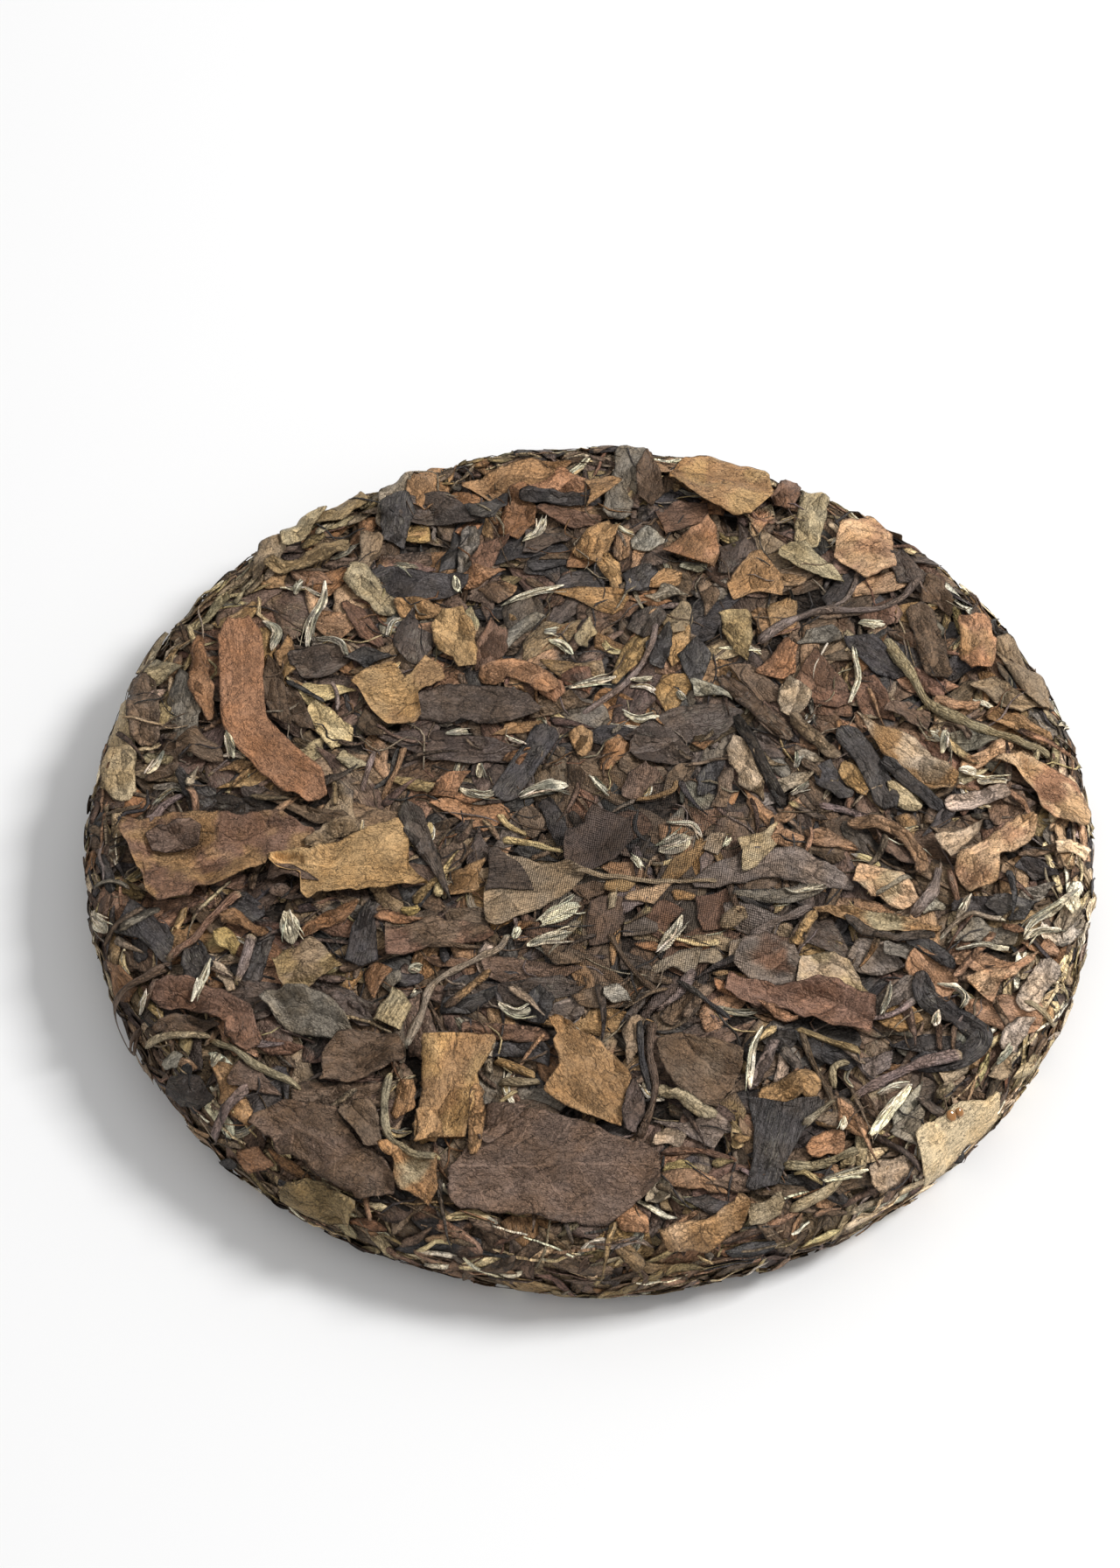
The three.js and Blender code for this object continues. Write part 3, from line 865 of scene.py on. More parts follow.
def layFlake(bunch, angle, down, long, out, deep, tint, slope, thick):
    rows = max(flakeForm["rows"], int(long / flakeForm["cell"]) + 1)
    key = int(dice.integers(*leafKeys))
    u, v = np.linspace(0, 1, rows)[:, None], np.linspace(0, 1, flakeForm["columns"])[None, :]
    wander = flakeForm["wander"] * (crumple(u * long / flakeForm["wanderLong"], key, key) - 0.5)
    away = down + slope * (u - 0.5) * long + wander
    spin = angle + (u - 0.5) * long / cake["radius"]
    least, more = flakeForm["edge"]
    edge = out * (least + more * crumple(u * long / flakeForm["edgeLong"], key + 0.5, key))
    edge = edge * (1 - (2 * np.abs(u - 0.5)) ** 4)
    base = bunch.pile.at(away * np.cos(spin), away * np.sin(spin))
    z = base - deep + (edge + deep) * v
    droop = crumple(u * long / flakeForm["droopLong"], key + 20, key) - flakeForm["droopMean"]
    droop = away + flakeForm["droop"] * v * v * droop
    top, bottom = ((r * np.cos(spin), r * np.sin(spin), z) for r in (droop + thick, droop))
    darkest, more = flakeForm["patch"]
    patch = darkest + more * crumple(u * long / flakeForm["patchLong"], v * 2, key)
    colour = tintOf(tint, flakeForm["stray"]) * patch[..., None]
    along, across = np.broadcast_to(u * long, z.shape), np.broadcast_to(v * (out + deep), z.shape)
    bunch.slab(top, bottom, colour, along, across, plainBlade, (long, out + deep))


def spiral(rule):  # evenly spread places, shaken a little
    golden, count = math.pi * (3 - math.sqrt(5)), rule["count"]
    n = np.arange(count)
    r = rule["far"] * np.sqrt((n + 0.5) / count)
    places = np.stack([r * np.cos(n * golden), r * np.sin(n * golden)], -1)
    places = places + dice.normal(0, rule["shake"], (count, 2))
    return places[dice.permutation(count)]


broadLeaves = Bunch("broad_leaves")
plateLeaves = Bunch("plate_leaves")
bedLeaves = Bunch("bed_leaves")
tornLeaves = Bunch("torn_leaves")
darkLeaves = Bunch("dark_leaves")
stems = Bunch("stems")
silverBuds = Bunch("silver_buds")
rimShreds = Bunch("rim_shreds")
rimFlakes = Bunch("rim_flakes")
beads = Bunch("amber_beads")
underLeaves = Bunch("underside_leaves", underPile, underCake)


# Leaves lie in flows that change slowly over the face
flowRule = {"turn": 540, "wide": 38, "shift": 5, "key": 21}


def flow(x, y):
    wide, shift = flowRule["wide"], flowRule["shift"]
    return flowRule["turn"] * crumple(x / wide + shift, y / wide + shift, flowRule["key"], 2)


# The hollow in the middle holds darker leaves
hollow = {
    "middle": (4, 14), "reach": (46, 17),
    "mix": {"plum": 2.5, "cocoa": 4, "umber": 3, "coal": 1.3, "bark": 1.5,
            "brick": 1.5, "rust": 0.7, "slate": 1.5, "taupe": 2, "fawn": 0.8},
}


def localMix(x, y, mix):
    away = np.hypot(*((np.array([x, y]) - hollow["middle"]) / hollow["reach"]))
    return hollow["mix"] if away < dice.uniform(0.85, 1.15) else mix


strewn = {"lifted": 0.5, "blotted": 0.35, "roll": (0.4, 1.3), "veins": (0, 0.9)}


def scatterLeaves(bunch, rule, places):
    for x, y in places:
        mix = localMix(x, y, rule["mix"])
        lifts = sometimes(np.abs(dice.normal(0, rule["lift"], 4)), strewn["lifted"])
        blot = pick(mix) if dice.random() < strewn["blotted"] else None
        rolls = sometimes(dice.uniform(*strewn["roll"], 2), rule["rolled"])
        layLeaf(bunch, at=(x, y), size=(between(rule["long"]), between(rule["wide"])),
                turn=flow(x, y) + dice.normal(0, rule["astray"]), style=pick(rule["styles"]),
                bend=dice.normal(0, rule["bend"]), cell=rule["cell"], tint=pick(mix), blot=blot, lift=lifts,
                roll=rolls, veins=between(strewn["veins"]), wrinkle=rule["wrinkle"], stray=0.13,
                stiff=rule["stiff"], thick=rule["thick"], jag=rule["jag"], slant=0.45, pleatHeight=0.45,
                pleats=int(dice.random() < rule["pleated"]) * int(dice.integers(1, 3)))


# The matted leaves under everything, mostly dark
bedRule = {
    "count": 400, "far": 116, "shake": 3, "long": (13, 27), "wide": (4.5, 10), "cell": 1.8, "lift": 0.25,
    "rolled": 0.12, "astray": 40, "bend": 20, "wrinkle": 0.3, "stiff": 4, "thick": 0.26, "jag": 0.5,
    "pleated": 0.3,
    "styles": {"whole": 1, "strip": 2, "scrap": 4},
    "mix": {"bark": 4, "umber": 4, "cocoa": 4, "plum": 3, "coal": 2, "clay": 1.5,
            "fawn": 1.5, "moss": 1},
}
scatterLeaves(bedLeaves, bedRule, spiral(bedRule))

# Dark leaves dried into twists and pleats
twistRule = {
    "count": 190, "far": 98, "shake": 4, "long": (8, 22), "wide": (1.8, 5), "cell": 0.8, "bend": 65,
    "astray": 40,
    "mix": {"coal": 5, "soot": 3, "plum": 3, "bark": 3},
    "styles": {"strip": 2, "whole": 2, "point": 1},
}


def layTwist(x, y, turn, rule):
    wide = between(rule["wide"])
    layLeaf(darkLeaves, at=(x, y), size=(between(rule["long"]), wide), turn=turn,
            bend=dice.normal(0, rule["bend"]), style=pick(rule["styles"]), cell=rule["cell"],
            tint=pick(rule["mix"]),
            pleats=dice.integers(1, 4), pleatHeight=between((0.3, 0.8)), wrinkle=0.3, jag=0.3, veins=0.2,
            roll=sometimes(dice.uniform(0.2, 0.45, 2) * wide, 0.5), rollRadius=between((0.4, 0.8)),
            lift=sometimes(np.abs(dice.normal(0, 0.4, 4)), 0.4), stray=0.12, stiff=3)


for x, y in spiral(twistRule):
    layTwist(x, y, flow(x, y) + dice.normal(0, twistRule["astray"]), twistRule)

# Small narrow shreds that fill the gaps
bitRule = {
    "count": 560, "far": 101, "shake": 2, "long": (3, 11), "wide": (0.8, 2.8), "cell": 1.3, "lift": 0.35,
    "rolled": 0.05, "astray": 35, "bend": 35, "wrinkle": 0.2, "stiff": 2, "thick": 0.22, "jag": 0.3,
    "pleated": 0.1,
    "styles": {"strip": 3, "point": 3, "scrap": 4},
    "mix": {"rust": 0.8, "clay": 1.6, "tan": 1, "copper": 1, "umber": 4, "bark": 3, "coal": 2,
            "mauve": 1.5, "cocoa": 3, "plum": 2, "moss": 1, "slate": 1.2, "straw": 0.5,
            "stone": 1},
}
scatterLeaves(tornLeaves, bitRule, spiral(bitRule))

# Middling torn leaves of every tint, pressed into a mosaic
midRule = {
    "count": 470, "far": 100, "shake": 3, "long": (8, 24), "wide": (3.5, 11), "cell": 1.35, "lift": 0.25,
    "rolled": 0.12, "astray": 50, "bend": 22, "wrinkle": 0.3, "stiff": 3, "thick": 0.22, "jag": 0.8,
    "pleated": 0.25,
    "styles": {"scrap": 7, "whole": 0.5, "strip": 1, "half": 0.5, "point": 1},
    "mix": {"clay": 2.2, "brick": 2, "tan": 1, "fawn": 2, "ochre": 0.8, "copper": 1.8, "umber": 4,
            "bark": 4, "cocoa": 4, "plum": 2.5, "moss": 1, "coal": 2.5,
            "rose": 0.6, "slate": 1.2, "rust": 1.2},
}
scatterLeaves(tornLeaves, midRule, spiral(midRule))

# Warmer torn leaves towards the back
backRule = {
    **midRule, "count": 210, "long": (7, 17), "wide": (4, 9), "astray": 60, "nearest": 22,
    "mix": {"rust": 3, "orange": 2.5, "tan": 2, "copper": 3, "ochre": 1.2, "clay": 3, "peach": 1.2,
            "umber": 2, "cocoa": 2, "coal": 2, "moss": 1, "bark": 1.5},
}
backPlaces = spiral(backRule)
scatterLeaves(tornLeaves, backRule, backPlaces[backPlaces[:, 1] > backRule["nearest"]])

# Thin strands and short stems
strandRule = {
    "count": 280, "far": 100, "shake": 4, "long": (4, 15), "thick": (0.3, 1.2), "astray": 45, "step": 1.7,
    "sway": 0.22, "roundFrom": 0.7, "tipped": 0.25,
    "mix": {"stone": 2, "mauve": 2, "reddish": 1.5, "reed": 1.5, "umber": 3, "straw": 0.8,
            "bark": 4, "coal": 2},
}


def layStrand(bunch, x, y, turn, long, **given):
    ahead = aheadOf(math.radians(turn)) * long / 2
    left, middle = leftOf(ahead), np.array([x, y])
    early = middle - ahead * 0.3 + left * dice.normal(0, strandRule["sway"])
    late = middle + ahead * 0.4 + left * dice.normal(0, strandRule["sway"])
    layStem(bunch, [middle - ahead, early, late, middle + ahead], step=strandRule["step"], **given)


for x, y in spiral(strandRule):
    thick = strandRule["thick"][0] + np.ptp(strandRule["thick"]) * dice.random() ** 2
    layStrand(stems, x, y, flow(x, y) + dice.normal(0, strandRule["astray"]), between(strandRule["long"]),
              thick=thick, sides=6 if thick > strandRule["roundFrom"] else 4, tint=pick(strandRule["mix"]),
              tip="straw" if dice.random() < strandRule["tipped"] else None)

# Scattered buds, none of them under the large leaf in front
budRule = {
    "count": 95, "far": 100, "shake": 5, "long": (4.5, 10), "wide": (1.0, 2.4), "clear": (-6, -81),
    "clearance": 18, "sway": 0.3, "hairs": (2, 5),
    "mix": {"cream": 1.5, "silver": 3, "sage": 3, "stone": 1.5},
}
for x, y in spiral(budRule):
    away = np.array([x, y]) - budRule["clear"]
    middle = budRule["clear"] + away * max(1, budRule["clearance"] / np.hypot(*away))
    turn, long = between((0, fullTurn)), between(budRule["long"])
    ahead = aheadOf(turn) * long / 2
    sway = leftOf(ahead) * dice.normal(0, budRule["sway"])
    layBud(silverBuds, [middle - ahead, middle + sway, middle + ahead], between(budRule["wide"]),
           tint=pick(budRule["mix"]), hairs=int(dice.integers(*budRule["hairs"])))
print("face strewn")

# The rim: torn strips lying on it, twists, strands, and flakes edge-on
rimRule = {
    "count": 980, "long": (4, 14), "wide": (0.8, 3.0), "lean": 26, "cell": 1.15,
    "styles": {"strip": 2, "scrap": 2, "whole": 1},
    "mix": {"tan": 2, "fawn": 2, "umber": 3, "bark": 3, "coal": 3, "clay": 2, "straw": 1.5,
            "cream": 1.2, "rust": 1.5, "olive": 1.2, "moss": 1.2, "cocoa": 1.5, "brick": 1.2,
            "buff": 1},
}
rimTwist = {**twistRule, "count": 70, "lean": 30, "long": (5, 14), "wide": (1.6, 4)}
rimStrand = {
    "count": 150, "lean": 35, "long": (3, 11), "thick": (0.5, 1.3), "tipped": 0.3,
    "mix": {**strandRule["mix"], "straw": 3, "cream": 1.5},
}
flakeRule = {
    "count": 520, "long": (4, 13), "out": (0.3, 1.2), "deep": 1.2, "thick": (0.2, 0.45), "slope": 0.12,
    "span": (shoulderReach + 4, footReach - 3),
}
rimSpan = (shoulderReach + 1, footReach - 1.5)
# Paler at the right of the front and at the left of the back, partly paler leaves and partly painted light
# where the rim is lit; spans in radians round from +x
paleAndLitRims = [
    ((-1.1, 0.1), {"tan": 4, "buff": 7, "cream": 4, "sand": 3, "straw": 3, "peach": 4, "shell": 3,
                   "rose": 2, "umber": 2, "coal": 1.5, "rust": 2, "bark": 1.5}),
    ((1.75, 2.95), {"hemp": 4, "tan": 3, "moss": 4, "stone": 3, "straw": 2, "fawn": 2,
                    "bark": 1.5}),
]


def rimTint(spin, mix):
    spin = (spin + math.pi) % fullTurn - math.pi
    for span, paleAndLitMix in paleAndLitRims:
        if span[0] < spin < span[1]:
            return pick(paleAndLitMix)
    return pick(mix)


def rimPlace(n, count):
    spin = fullTurn * (n + dice.random()) / count
    down = between(rimSpan)
    return spin, down * math.cos(spin), down * math.sin(spin)


def roundRim(spin, lean):  # a heading round the rim, give or take
    return math.degrees(spin) + 90 + dice.normal(0, lean)


for n in range(rimRule["count"]):
    spin, x, y = rimPlace(n * 7, rimRule["count"])
    layLeaf(rimShreds, at=(x, y), size=(between(rimRule["long"]), between(rimRule["wide"])),
            style=pick(rimRule["styles"]), turn=roundRim(spin, rimRule["lean"]), cell=rimRule["cell"],
            tint=rimTint(spin, rimRule["mix"]), bend=dice.normal(0, 15),
            lift=sometimes(np.abs(dice.normal(0, 0.5, 4)), 0.5), stray=0.14, stiff=2,
            pleats=int(dice.integers(0, 3)), pleatHeight=0.4, jag=0.25, veins=0.2, wrinkle=0.25,
            lean=dice.normal(0, 0.15))
for n in range(rimTwist["count"]):
    spin, x, y = rimPlace(n * 3, rimTwist["count"])
    rule = {**rimTwist, "mix": {rimTint(spin, rimTwist["mix"]): 1}}
    layTwist(x, y, roundRim(spin, rimTwist["lean"]), rule)
for n in range(rimStrand["count"]):
    spin, x, y = rimPlace(n * 3, rimStrand["count"])
    layStrand(stems, x, y, roundRim(spin, rimStrand["lean"]), between(rimStrand["long"]),
              thick=between(rimStrand["thick"]), tint=pick(rimStrand["mix"]),
              tip="cream" if dice.random() < rimStrand["tipped"] else None)
for n in range(flakeRule["count"]):
    spin, x, y = rimPlace(n * 7, flakeRule["count"])
    layFlake(rimFlakes, spin, between(flakeRule["span"]), between(flakeRule["long"]),
             between(flakeRule["out"]), flakeRule["deep"], rimTint(spin, rimRule["mix"]),
             slope=dice.normal(0, flakeRule["slope"]), thick=between(flakeRule["thick"]))
print("rim laid")
facePile.flatten((bedLeaves, tornLeaves, darkLeaves, stems, silverBuds, rimShreds, rimFlakes), laterLoose)
print("pressed")

# The smaller leaves that show, as seen from above: x, y, long, wide, turn, tint, and style if not scrap
smallLeaves = [
    # back
    (-34.5, 86, 14, 8, 85, "copper"), (-42.5, 83, 14, 4, 80, "stone", "strip"),
    (-17, 86, 17, 9, 10, "copper"), (-16, 76, 12, 6, 75, "rust"), (-5, 85, 13, 6, 5, "orange"),
    (-5, 75.5, 10, 5, 0, "brick"), (-7, 80.5, 11, 2.6, 0, "coal", "strip"), (-33, 76, 15, 8, -10, "plum"),
    (-22, 78, 7, 5, 40, "coal"), (-42, 74, 12, 6, 80, "coal"), (-26.5, 64, 10, 2.4, 85, "slate", "strip"),
    (-22, 64, 9, 5, 80, "brick"), (-23, 58.5, 7, 4, 30, "orange"), (-37, 55.5, 13, 7, -5, "coal"),
    (-2, 65.5, 7, 6, 60, "rust"), (-47, 64, 10, 5, 80, "fawn"), (-46, 54, 10, 3.6, -50, "hemp", "strip"),
    (-10, 68, 9, 6, 20, "plum"), (41, 86, 10, 4.6, 85, "brick"), (46.5, 81, 16, 4, 80, "hemp", "strip"),
    (31.5, 68, 12, 8, 80, "plum"), (35, 59, 10, 8, 60, "copper"), (19, 77, 11, 6, 20, "brick"),
    (6, 86, 14, 4.4, 80, "slate", "strip"), (12, 88, 12, 5, 80, "bark"), (1, 68, 9, 5, 60, "copper"),
    (15, 58, 7, 4.4, 30, "copper"), (11, 68.5, 5.5, 4, 50, "sage"), (15, 54, 7, 3, 0, "stone"),
    (9, 58, 7, 5, 60, "coal"), (21, 62, 4.5, 2.6, 10, "sage"), (1.5, 84, 7, 5, 40, "copper"),
    (45, 63, 12, 6.4, -35, "tan"), (66, 62, 9, 5, -70, "plum"), (71, 56, 9, 5, -70, "bark"),
    (59, 79, 11, 6, -40, "fawn"), (-55, 78, 15, 6.4, 55, "moss"), (-68, 66, 12, 5, 65, "fawn"),
    # left of the back
    (-82, 21, 16, 6, 85, "slate"), (-77, 12.5, 10, 6, -20, "umber"), (-94, 13, 20, 5, -82, "tan", "strip"),
    (-87, 33, 7, 5, 30, "hemp"), (-69, 3.4, 8, 4, 10, "ochre"), (-70, 8, 6, 3.4, 30, "copper"),
    (-65.5, 1.5, 6, 3.4, 0, "plum"), (-79, 3, 11, 6, -40, "coal"), (-53, 26.5, 9, 5.4, 8, "straw"),
    (-53, 18.5, 10, 5.4, -55, "straw"), (-62.5, 38, 7, 3.2, 80, "copper"), (-62, 33, 5, 2.2, 70, "ochre"),
    (-60, 22, 12, 6, -50, "bark"), (-64, 27, 14, 5, -80, "bark"), (-55, 35, 10, 6, 20, "plum"),
    (-53, 44.5, 7, 4.4, -10, "clay"), (-84, 8, 9, 5, 50, "bark"), (-90, 22, 13, 4, -80, "umber", "strip"),
    # middle of the back
    (-36, 48.8, 8, 4.6, -30, "copper"), (-20, 40, 10, 6, 80, "brick"), (-25, 12.5, 26, 9, 0, "plum"),
    (-15, 18.5, 9, 3, 12, "copper"), (-47, 9.5, 7, 4, -20, "hemp"), (-28, 4, 7, 5, 70, "orange"),
    (-35, 3.4, 7, 3.4, -10, "moss"), (-45, 36, 8, 4.6, 10, "coal"), (-38, 42, 10, 8, 80, "plum"),
    (-47, 45, 10, 4, -50, "brick"), (-7, 24, 9, 6, 20, "umber"), (-8, 28, 6, 4, -60, "orange"),
    (-1.5, 43, 6, 3, 85, "tan"), (-44, 19, 8, 5, -60, "bark"), (8.5, 38.5, 11, 3, 62, "ochre", "whole"),
    (17.8, 40, 9, 3.8, 82, "ochre"), (18, 47.5, 7, 5, 70, "fawn"), (21.5, 35.5, 11, 6, 80, "coal"),
    (13.4, 40, 9, 4, 80, "coal"), (11, 47, 7, 5, 70, "plum"), (46, 43, 8, 3.2, 10, "slate"),
    (4, 17, 9, 5, 0, "coal"), (5, 12.4, 7, 4.6, 70, "rust"), (18, 20, 19, 9, 20, "plum"),
    (14, 13, 12, 6, 5, "plum"), (22, 15, 3.6, 2.4, 0, "rust"), (35, 14, 7, 4.4, -30, "plum"),
    (47, 6, 11, 6, -55, "coal"), (33, 5, 6, 3.6, -60, "fawn"), (40, 6, 7, 4, 40, "stone"),
    (44, 12, 6, 3, -20, "stone"), (45.5, 31, 12, 8, -70, "brick"), (34, 31, 9, 5, -50, "umber"),
    (24, 7, 9, 5, 80, "coal"), (17, 6, 9, 4, 60, "umber"), (27, 4, 9, 4, 80, "umber"),
    (48, 27, 8, 5, -30, "brick"), (36, 22, 7, 4, -50, "umber"), (10, 5, 9, 5, 70, "cocoa"),
    # right of the back
    (52, 7, 7, 3.8, -60, "ochre", "whole"), (68, 33, 9, 3.6, -50, "reddish"), (57, 27, 11, 7, -50, "brick"),
    (64, 24, 9, 6, -40, "cocoa"), (73.5, 27, 7, 2.6, -5, "clay"), (86, 22, 10, 3.2, -30, "copper", "strip"),
    (75, 18, 8, 5, 10, "slate"), (79, 14, 9, 2.6, 32, "peach", "strip"), (53, 15, 8, 5, -60, "plum"),
    (84, 30, 10, 5, -30, "fawn"), (88, 36, 13, 4, -65, "fawn", "strip"), (82, 3, 8, 4, -30, "umber"),
    (69, 43, 13, 4, -80, "bark", "strip"),
    # left of the front
    (-58, -22.2, 6, 4, 0, "cocoa"), (-66, -26, 8, 5.6, -20, "coal"), (-74, -38.5, 9, 6, -60, "coal"),
    (-62.5, -37, 11, 3.4, 80, "coal", "strip"), (-83, -31.5, 15, 9, -52, "coal"),
    (-88.5, -40, 10, 6, -60, "rust"), (-73, -28, 8, 4, -40, "bark"), (-64, -46, 13, 7.6, -10, "plum"),
    (-68, -41, 7, 3, -60, "rose"), (-68, -2.5, 17, 4, -6, "soot", "strip"),
    (-56, -2.5, 14, 3, -20, "bark", "strip"), (-65.5, -65.5, 13, 6, -52, "copper"),
    (-60.5, -64, 11, 6, -30, "cocoa"), (-57, -57, 8, 4, 10, "brick"), (-66, -54, 12, 4.6, -52, "clay"),
    (-60, -78, 9, 5, -16, "orange"), (-73, -65, 10, 6.4, -22, "soot"), (-75, -52, 12, 5, -10, "bark"),
    # middle of the front
    (-24, -2.5, 14, 8, -15, "orange"), (-22, -12, 7, 5, 60, "plum"), (-34, -17, 9, 7, -35, "cocoa"),
    (-23.5, -19, 10, 6, 45, "copper"), (-26, -13.5, 8, 5.4, 70, "umber"), (-10, -12.5, 9, 3.2, -15, "coal"),
    (-6.5, -5.5, 11, 3, -70, "coal", "strip"), (-12, -5, 8, 5, -60, "umber"),
    (-40, -29.5, 5, 4, 30, "stone"), (-34, -42, 7, 3, 0, "coal"), (-36.5, -42, 4.4, 3, 60, "slate"),
    (-40, -42, 8, 4, 70, "rust"), (-45, -46, 10, 5, -30, "plum"), (-48, -46.5, 14, 3, -35, "plum", "strip"),
    (-26, -37.5, 9, 3.8, -12, "brick"), (-19, -37, 7, 4.2, 70, "shell"), (-15, -36, 8, 4.4, 80, "coal"),
    (-20, -41.5, 12, 3.6, 8, "coal"), (-10, -39.5, 21, 6.4, 0, "cocoa"), (-13, -44.5, 27, 6, 4, "plum"),
    (-12, -29, 5, 2.4, 10, "rust"), (-23, -27.3, 9, 4.4, -10, "umber"), (-5, -36, 10, 5, -25, "umber"),
    (-4, -48, 9, 6, 20, "taupe"), (-9, -47.5, 7, 4, 70, "coal"), (-22, -47, 10, 4, 20, "coal"),
    (7, -15.5, 8, 4.6, -10, "clay"), (22.8, -14, 8, 3, 70, "mauve"), (38, -7.5, 8, 5, 10, "clay"),
    (47, -8, 10, 4.4, -20, "clay"), (18.5, -21.3, 5, 2.4, -15, "copper"), (7.5, -23, 8, 6, 60, "mauve"),
    (2.5, -27.5, 10, 8, 80, "cocoa"), (0.5, -21, 6, 5, 20, "umber"), (24.5, -24.5, 11, 8, 65, "brick"),
    (31, -26.5, 10, 6, -20, "taupe"), (31, -21.3, 8, 4.5, -10, "coal"), (14, -27, 8, 6, 60, "brick"),
    (25, -31.7, 12, 3.8, -8, "fawn"), (29.5, -34, 6, 4.4, 40, "stone"), (46, -30, 14, 7, -30, "plum"),
    (11.6, -33, 5, 2.8, 0, "orange"), (20, -32.7, 10, 2.4, -8, "orange"), (21, -35, 10, 3.4, -5, "stone"),
    (17, -37.3, 11, 5, 22, "stone"), (9, -37, 8, 4, -30, "plum"), (10, -29.5, 7, 4.4, 0, "taupe"),
    (2.5, -45, 8, 5, 20, "umber"), (40, -40.5, 7, 2.6, -5, "rose"), (18, -46, 9, 3, 55, "umber", "strip"),
    (17, -43.7, 9, 1.8, 50, "mauve", "strip"), (13, -46, 11, 2, 50, "plum", "strip"),
    (21, -45, 8, 1.8, 55, "umber", "strip"), (9.5, -47, 9, 1.8, 60, "plum", "strip"),
    (27, -42.5, 7, 2.4, -20, "orange"), (-12, -57, 11, 4, -10, "coal"),
    (-15, -53, 13, 3, -8, "brick", "strip"), (-45, -67, 14, 4.4, 2, "umber", "strip"),
    (-28.3, -73.3, 8, 5.6, 82, "ochre"), (-33.5, -67.5, 9, 4, 80, "copper"),
    (20, -72.5, 14, 7, -20, "taupe"), (18, -81, 6, 2.2, 0, "khaki"), (25, -80, 5, 1.8, -10, "olive"),
    (20, -83.5, 11, 4.4, -5, "clay"), (26, -83.3, 7, 4.4, 0, "cocoa"), (27.8, -74, 6, 3.2, -70, "moss"),
    (22.5, -88, 8, 4, 0, "coal"), (13.5, -86, 5.6, 4.4, 60, "stone"), (9, -90.5, 7, 5.4, -30, "orange"),
    (36, -53, 7, 5.4, 20, "coal"), (44.5, -55, 12, 5.4, -28, "coal"), (33, -59, 9, 2, 60, "mauve", "strip"),
    (36.5, -60, 6, 2.2, 80, "shell", "strip"), (39, -59, 7, 2.4, -60, "plum", "strip"),
    (33, -89, 8, 5, 30, "tan"), (49, -70, 9, 5, -60, "clay"), (38, -79, 8, 4, 20, "umber"),
    (48, -82, 9, 4, 20, "bark"), (8.5, -54, 10, 4, 75, "fawn"),
    # right of the front
    (59, -9.5, 14, 6, -42, "cocoa"), (82, -15.5, 11, 5.4, 82, "peach"), (87, -13, 8, 5, -20, "coal"),
    (86, -18.5, 7, 4.4, 30, "slate"), (75.5, -22.5, 10, 5.6, -10, "coal"), (80.5, -22.5, 9, 5, -20, "coal"),
    (75, -29, 14, 7, 5, "slate"), (54.5, -35.5, 11, 8, -35, "taupe"), (59.5, -33.3, 6, 5, 20, "slate"),
    (65.5, -38, 12, 7, -58, "clay"), (75, -35.3, 13, 4.4, 5, "clay"), (78, -45.5, 14, 8.4, -10, "clay"),
    (58, -48, 9, 6, 0, "copper"), (57.5, -43.5, 10, 3, 38, "taupe", "strip"), (92, -24, 8, 4, 70, "stone"),
    (86, -31.5, 7, 4, 0, "clay"), (93, -19, 7, 3.2, 75, "cream"), (63, -54, 13, 5.4, 10, "coal"),
    (54, -58, 7, 5, 30, "taupe"), (59.5, -67, 10, 4.4, 60, "sage"), (60.5, -70.5, 10, 4.4, 45, "slate"),
    (56, -79, 8, 3.2, 22, "wovenTan", "strip"), (77, -57.5, 7, 3, 50, "fawn"),
]
smallGrid = {
    "cell": 0.66, "stray": 0.06, "stiff": 3, "gap": 0.05, "wrinkle": 0.2, "jag": 0.8, "thick": 0.22,
    "slant": 0.2, "folds": 4, "steep": 0.16,
}
smallSize = {"long": 1.3, "wide": 1.2, "span": (0, 40), "more": (1, 1.25)}  # larger plates towards the back
darkTints = ("coal", "soot", "plum")


def laySmall(rows):
    for x, y, long, wide, turn, tint, *style in rows:
        dark = tint in darkTints
        more = np.interp(y, smallSize["span"], smallSize["more"])
        size = (smallSize["long"] * long * more, smallSize["wide"] * wide * more)
        layLeaf(darkLeaves if dark else plateLeaves, at=(x, y), seen=True, size=size, turn=turn, tint=tint,
                style=style[0] if style else "scrap", bend=dice.normal(0, 10),
                pleats=int(dice.integers(0, 3)) if dark else 0, veins=between((0.1, 0.9)),
                lift=sometimes(np.abs(dice.normal(0, 0.3, 4)), 0.5), **smallGrid)


laySmall(smallLeaves)

# Slivers and fine strands lying over the leaves
sliverRule = {
    **bitRule, "count": 300, "far": 97, "shake": 4, "long": (4, 14), "wide": (0.7, 2.2), "cell": 0.85,
    "lift": 0.3, "rolled": 0, "thick": 0.2, "pleated": 0.15, "styles": {"strip": 2, "point": 4},
    "farthest": 28,
}
slivers = spiral(sliverRule)
scatterLeaves(tornLeaves, sliverRule, slivers[slivers[:, 1] < sliverRule["farthest"]])
fineRule = {
    "count": 320, "far": 97, "shake": 5, "long": (4, 14), "thick": (0.25, 0.55), "astray": 50,
    "mix": {"stone": 2, "umber": 3, "coal": 4, "straw": 0.4, "silver": 0.3, "mauve": 1.5, "rust": 1},
}
for x, y in spiral(fineRule):
    layStrand(stems, x, y, flow(x, y) + dice.normal(0, fineRule["astray"]), between(fineRule["long"]),
              thick=between(fineRule["thick"]), sides=4, tint=pick(fineRule["mix"]))


# The large leaves that show, as seen from above
def sheet(corners, turn, tint, **more):
    return {"outline": corners, "turn": turn, "tint": tint, **more}


def strip(path, wide, tint, style="strip", **more):
    return {"path": path, "wide": wide, "tint": tint, "style": style, **more}


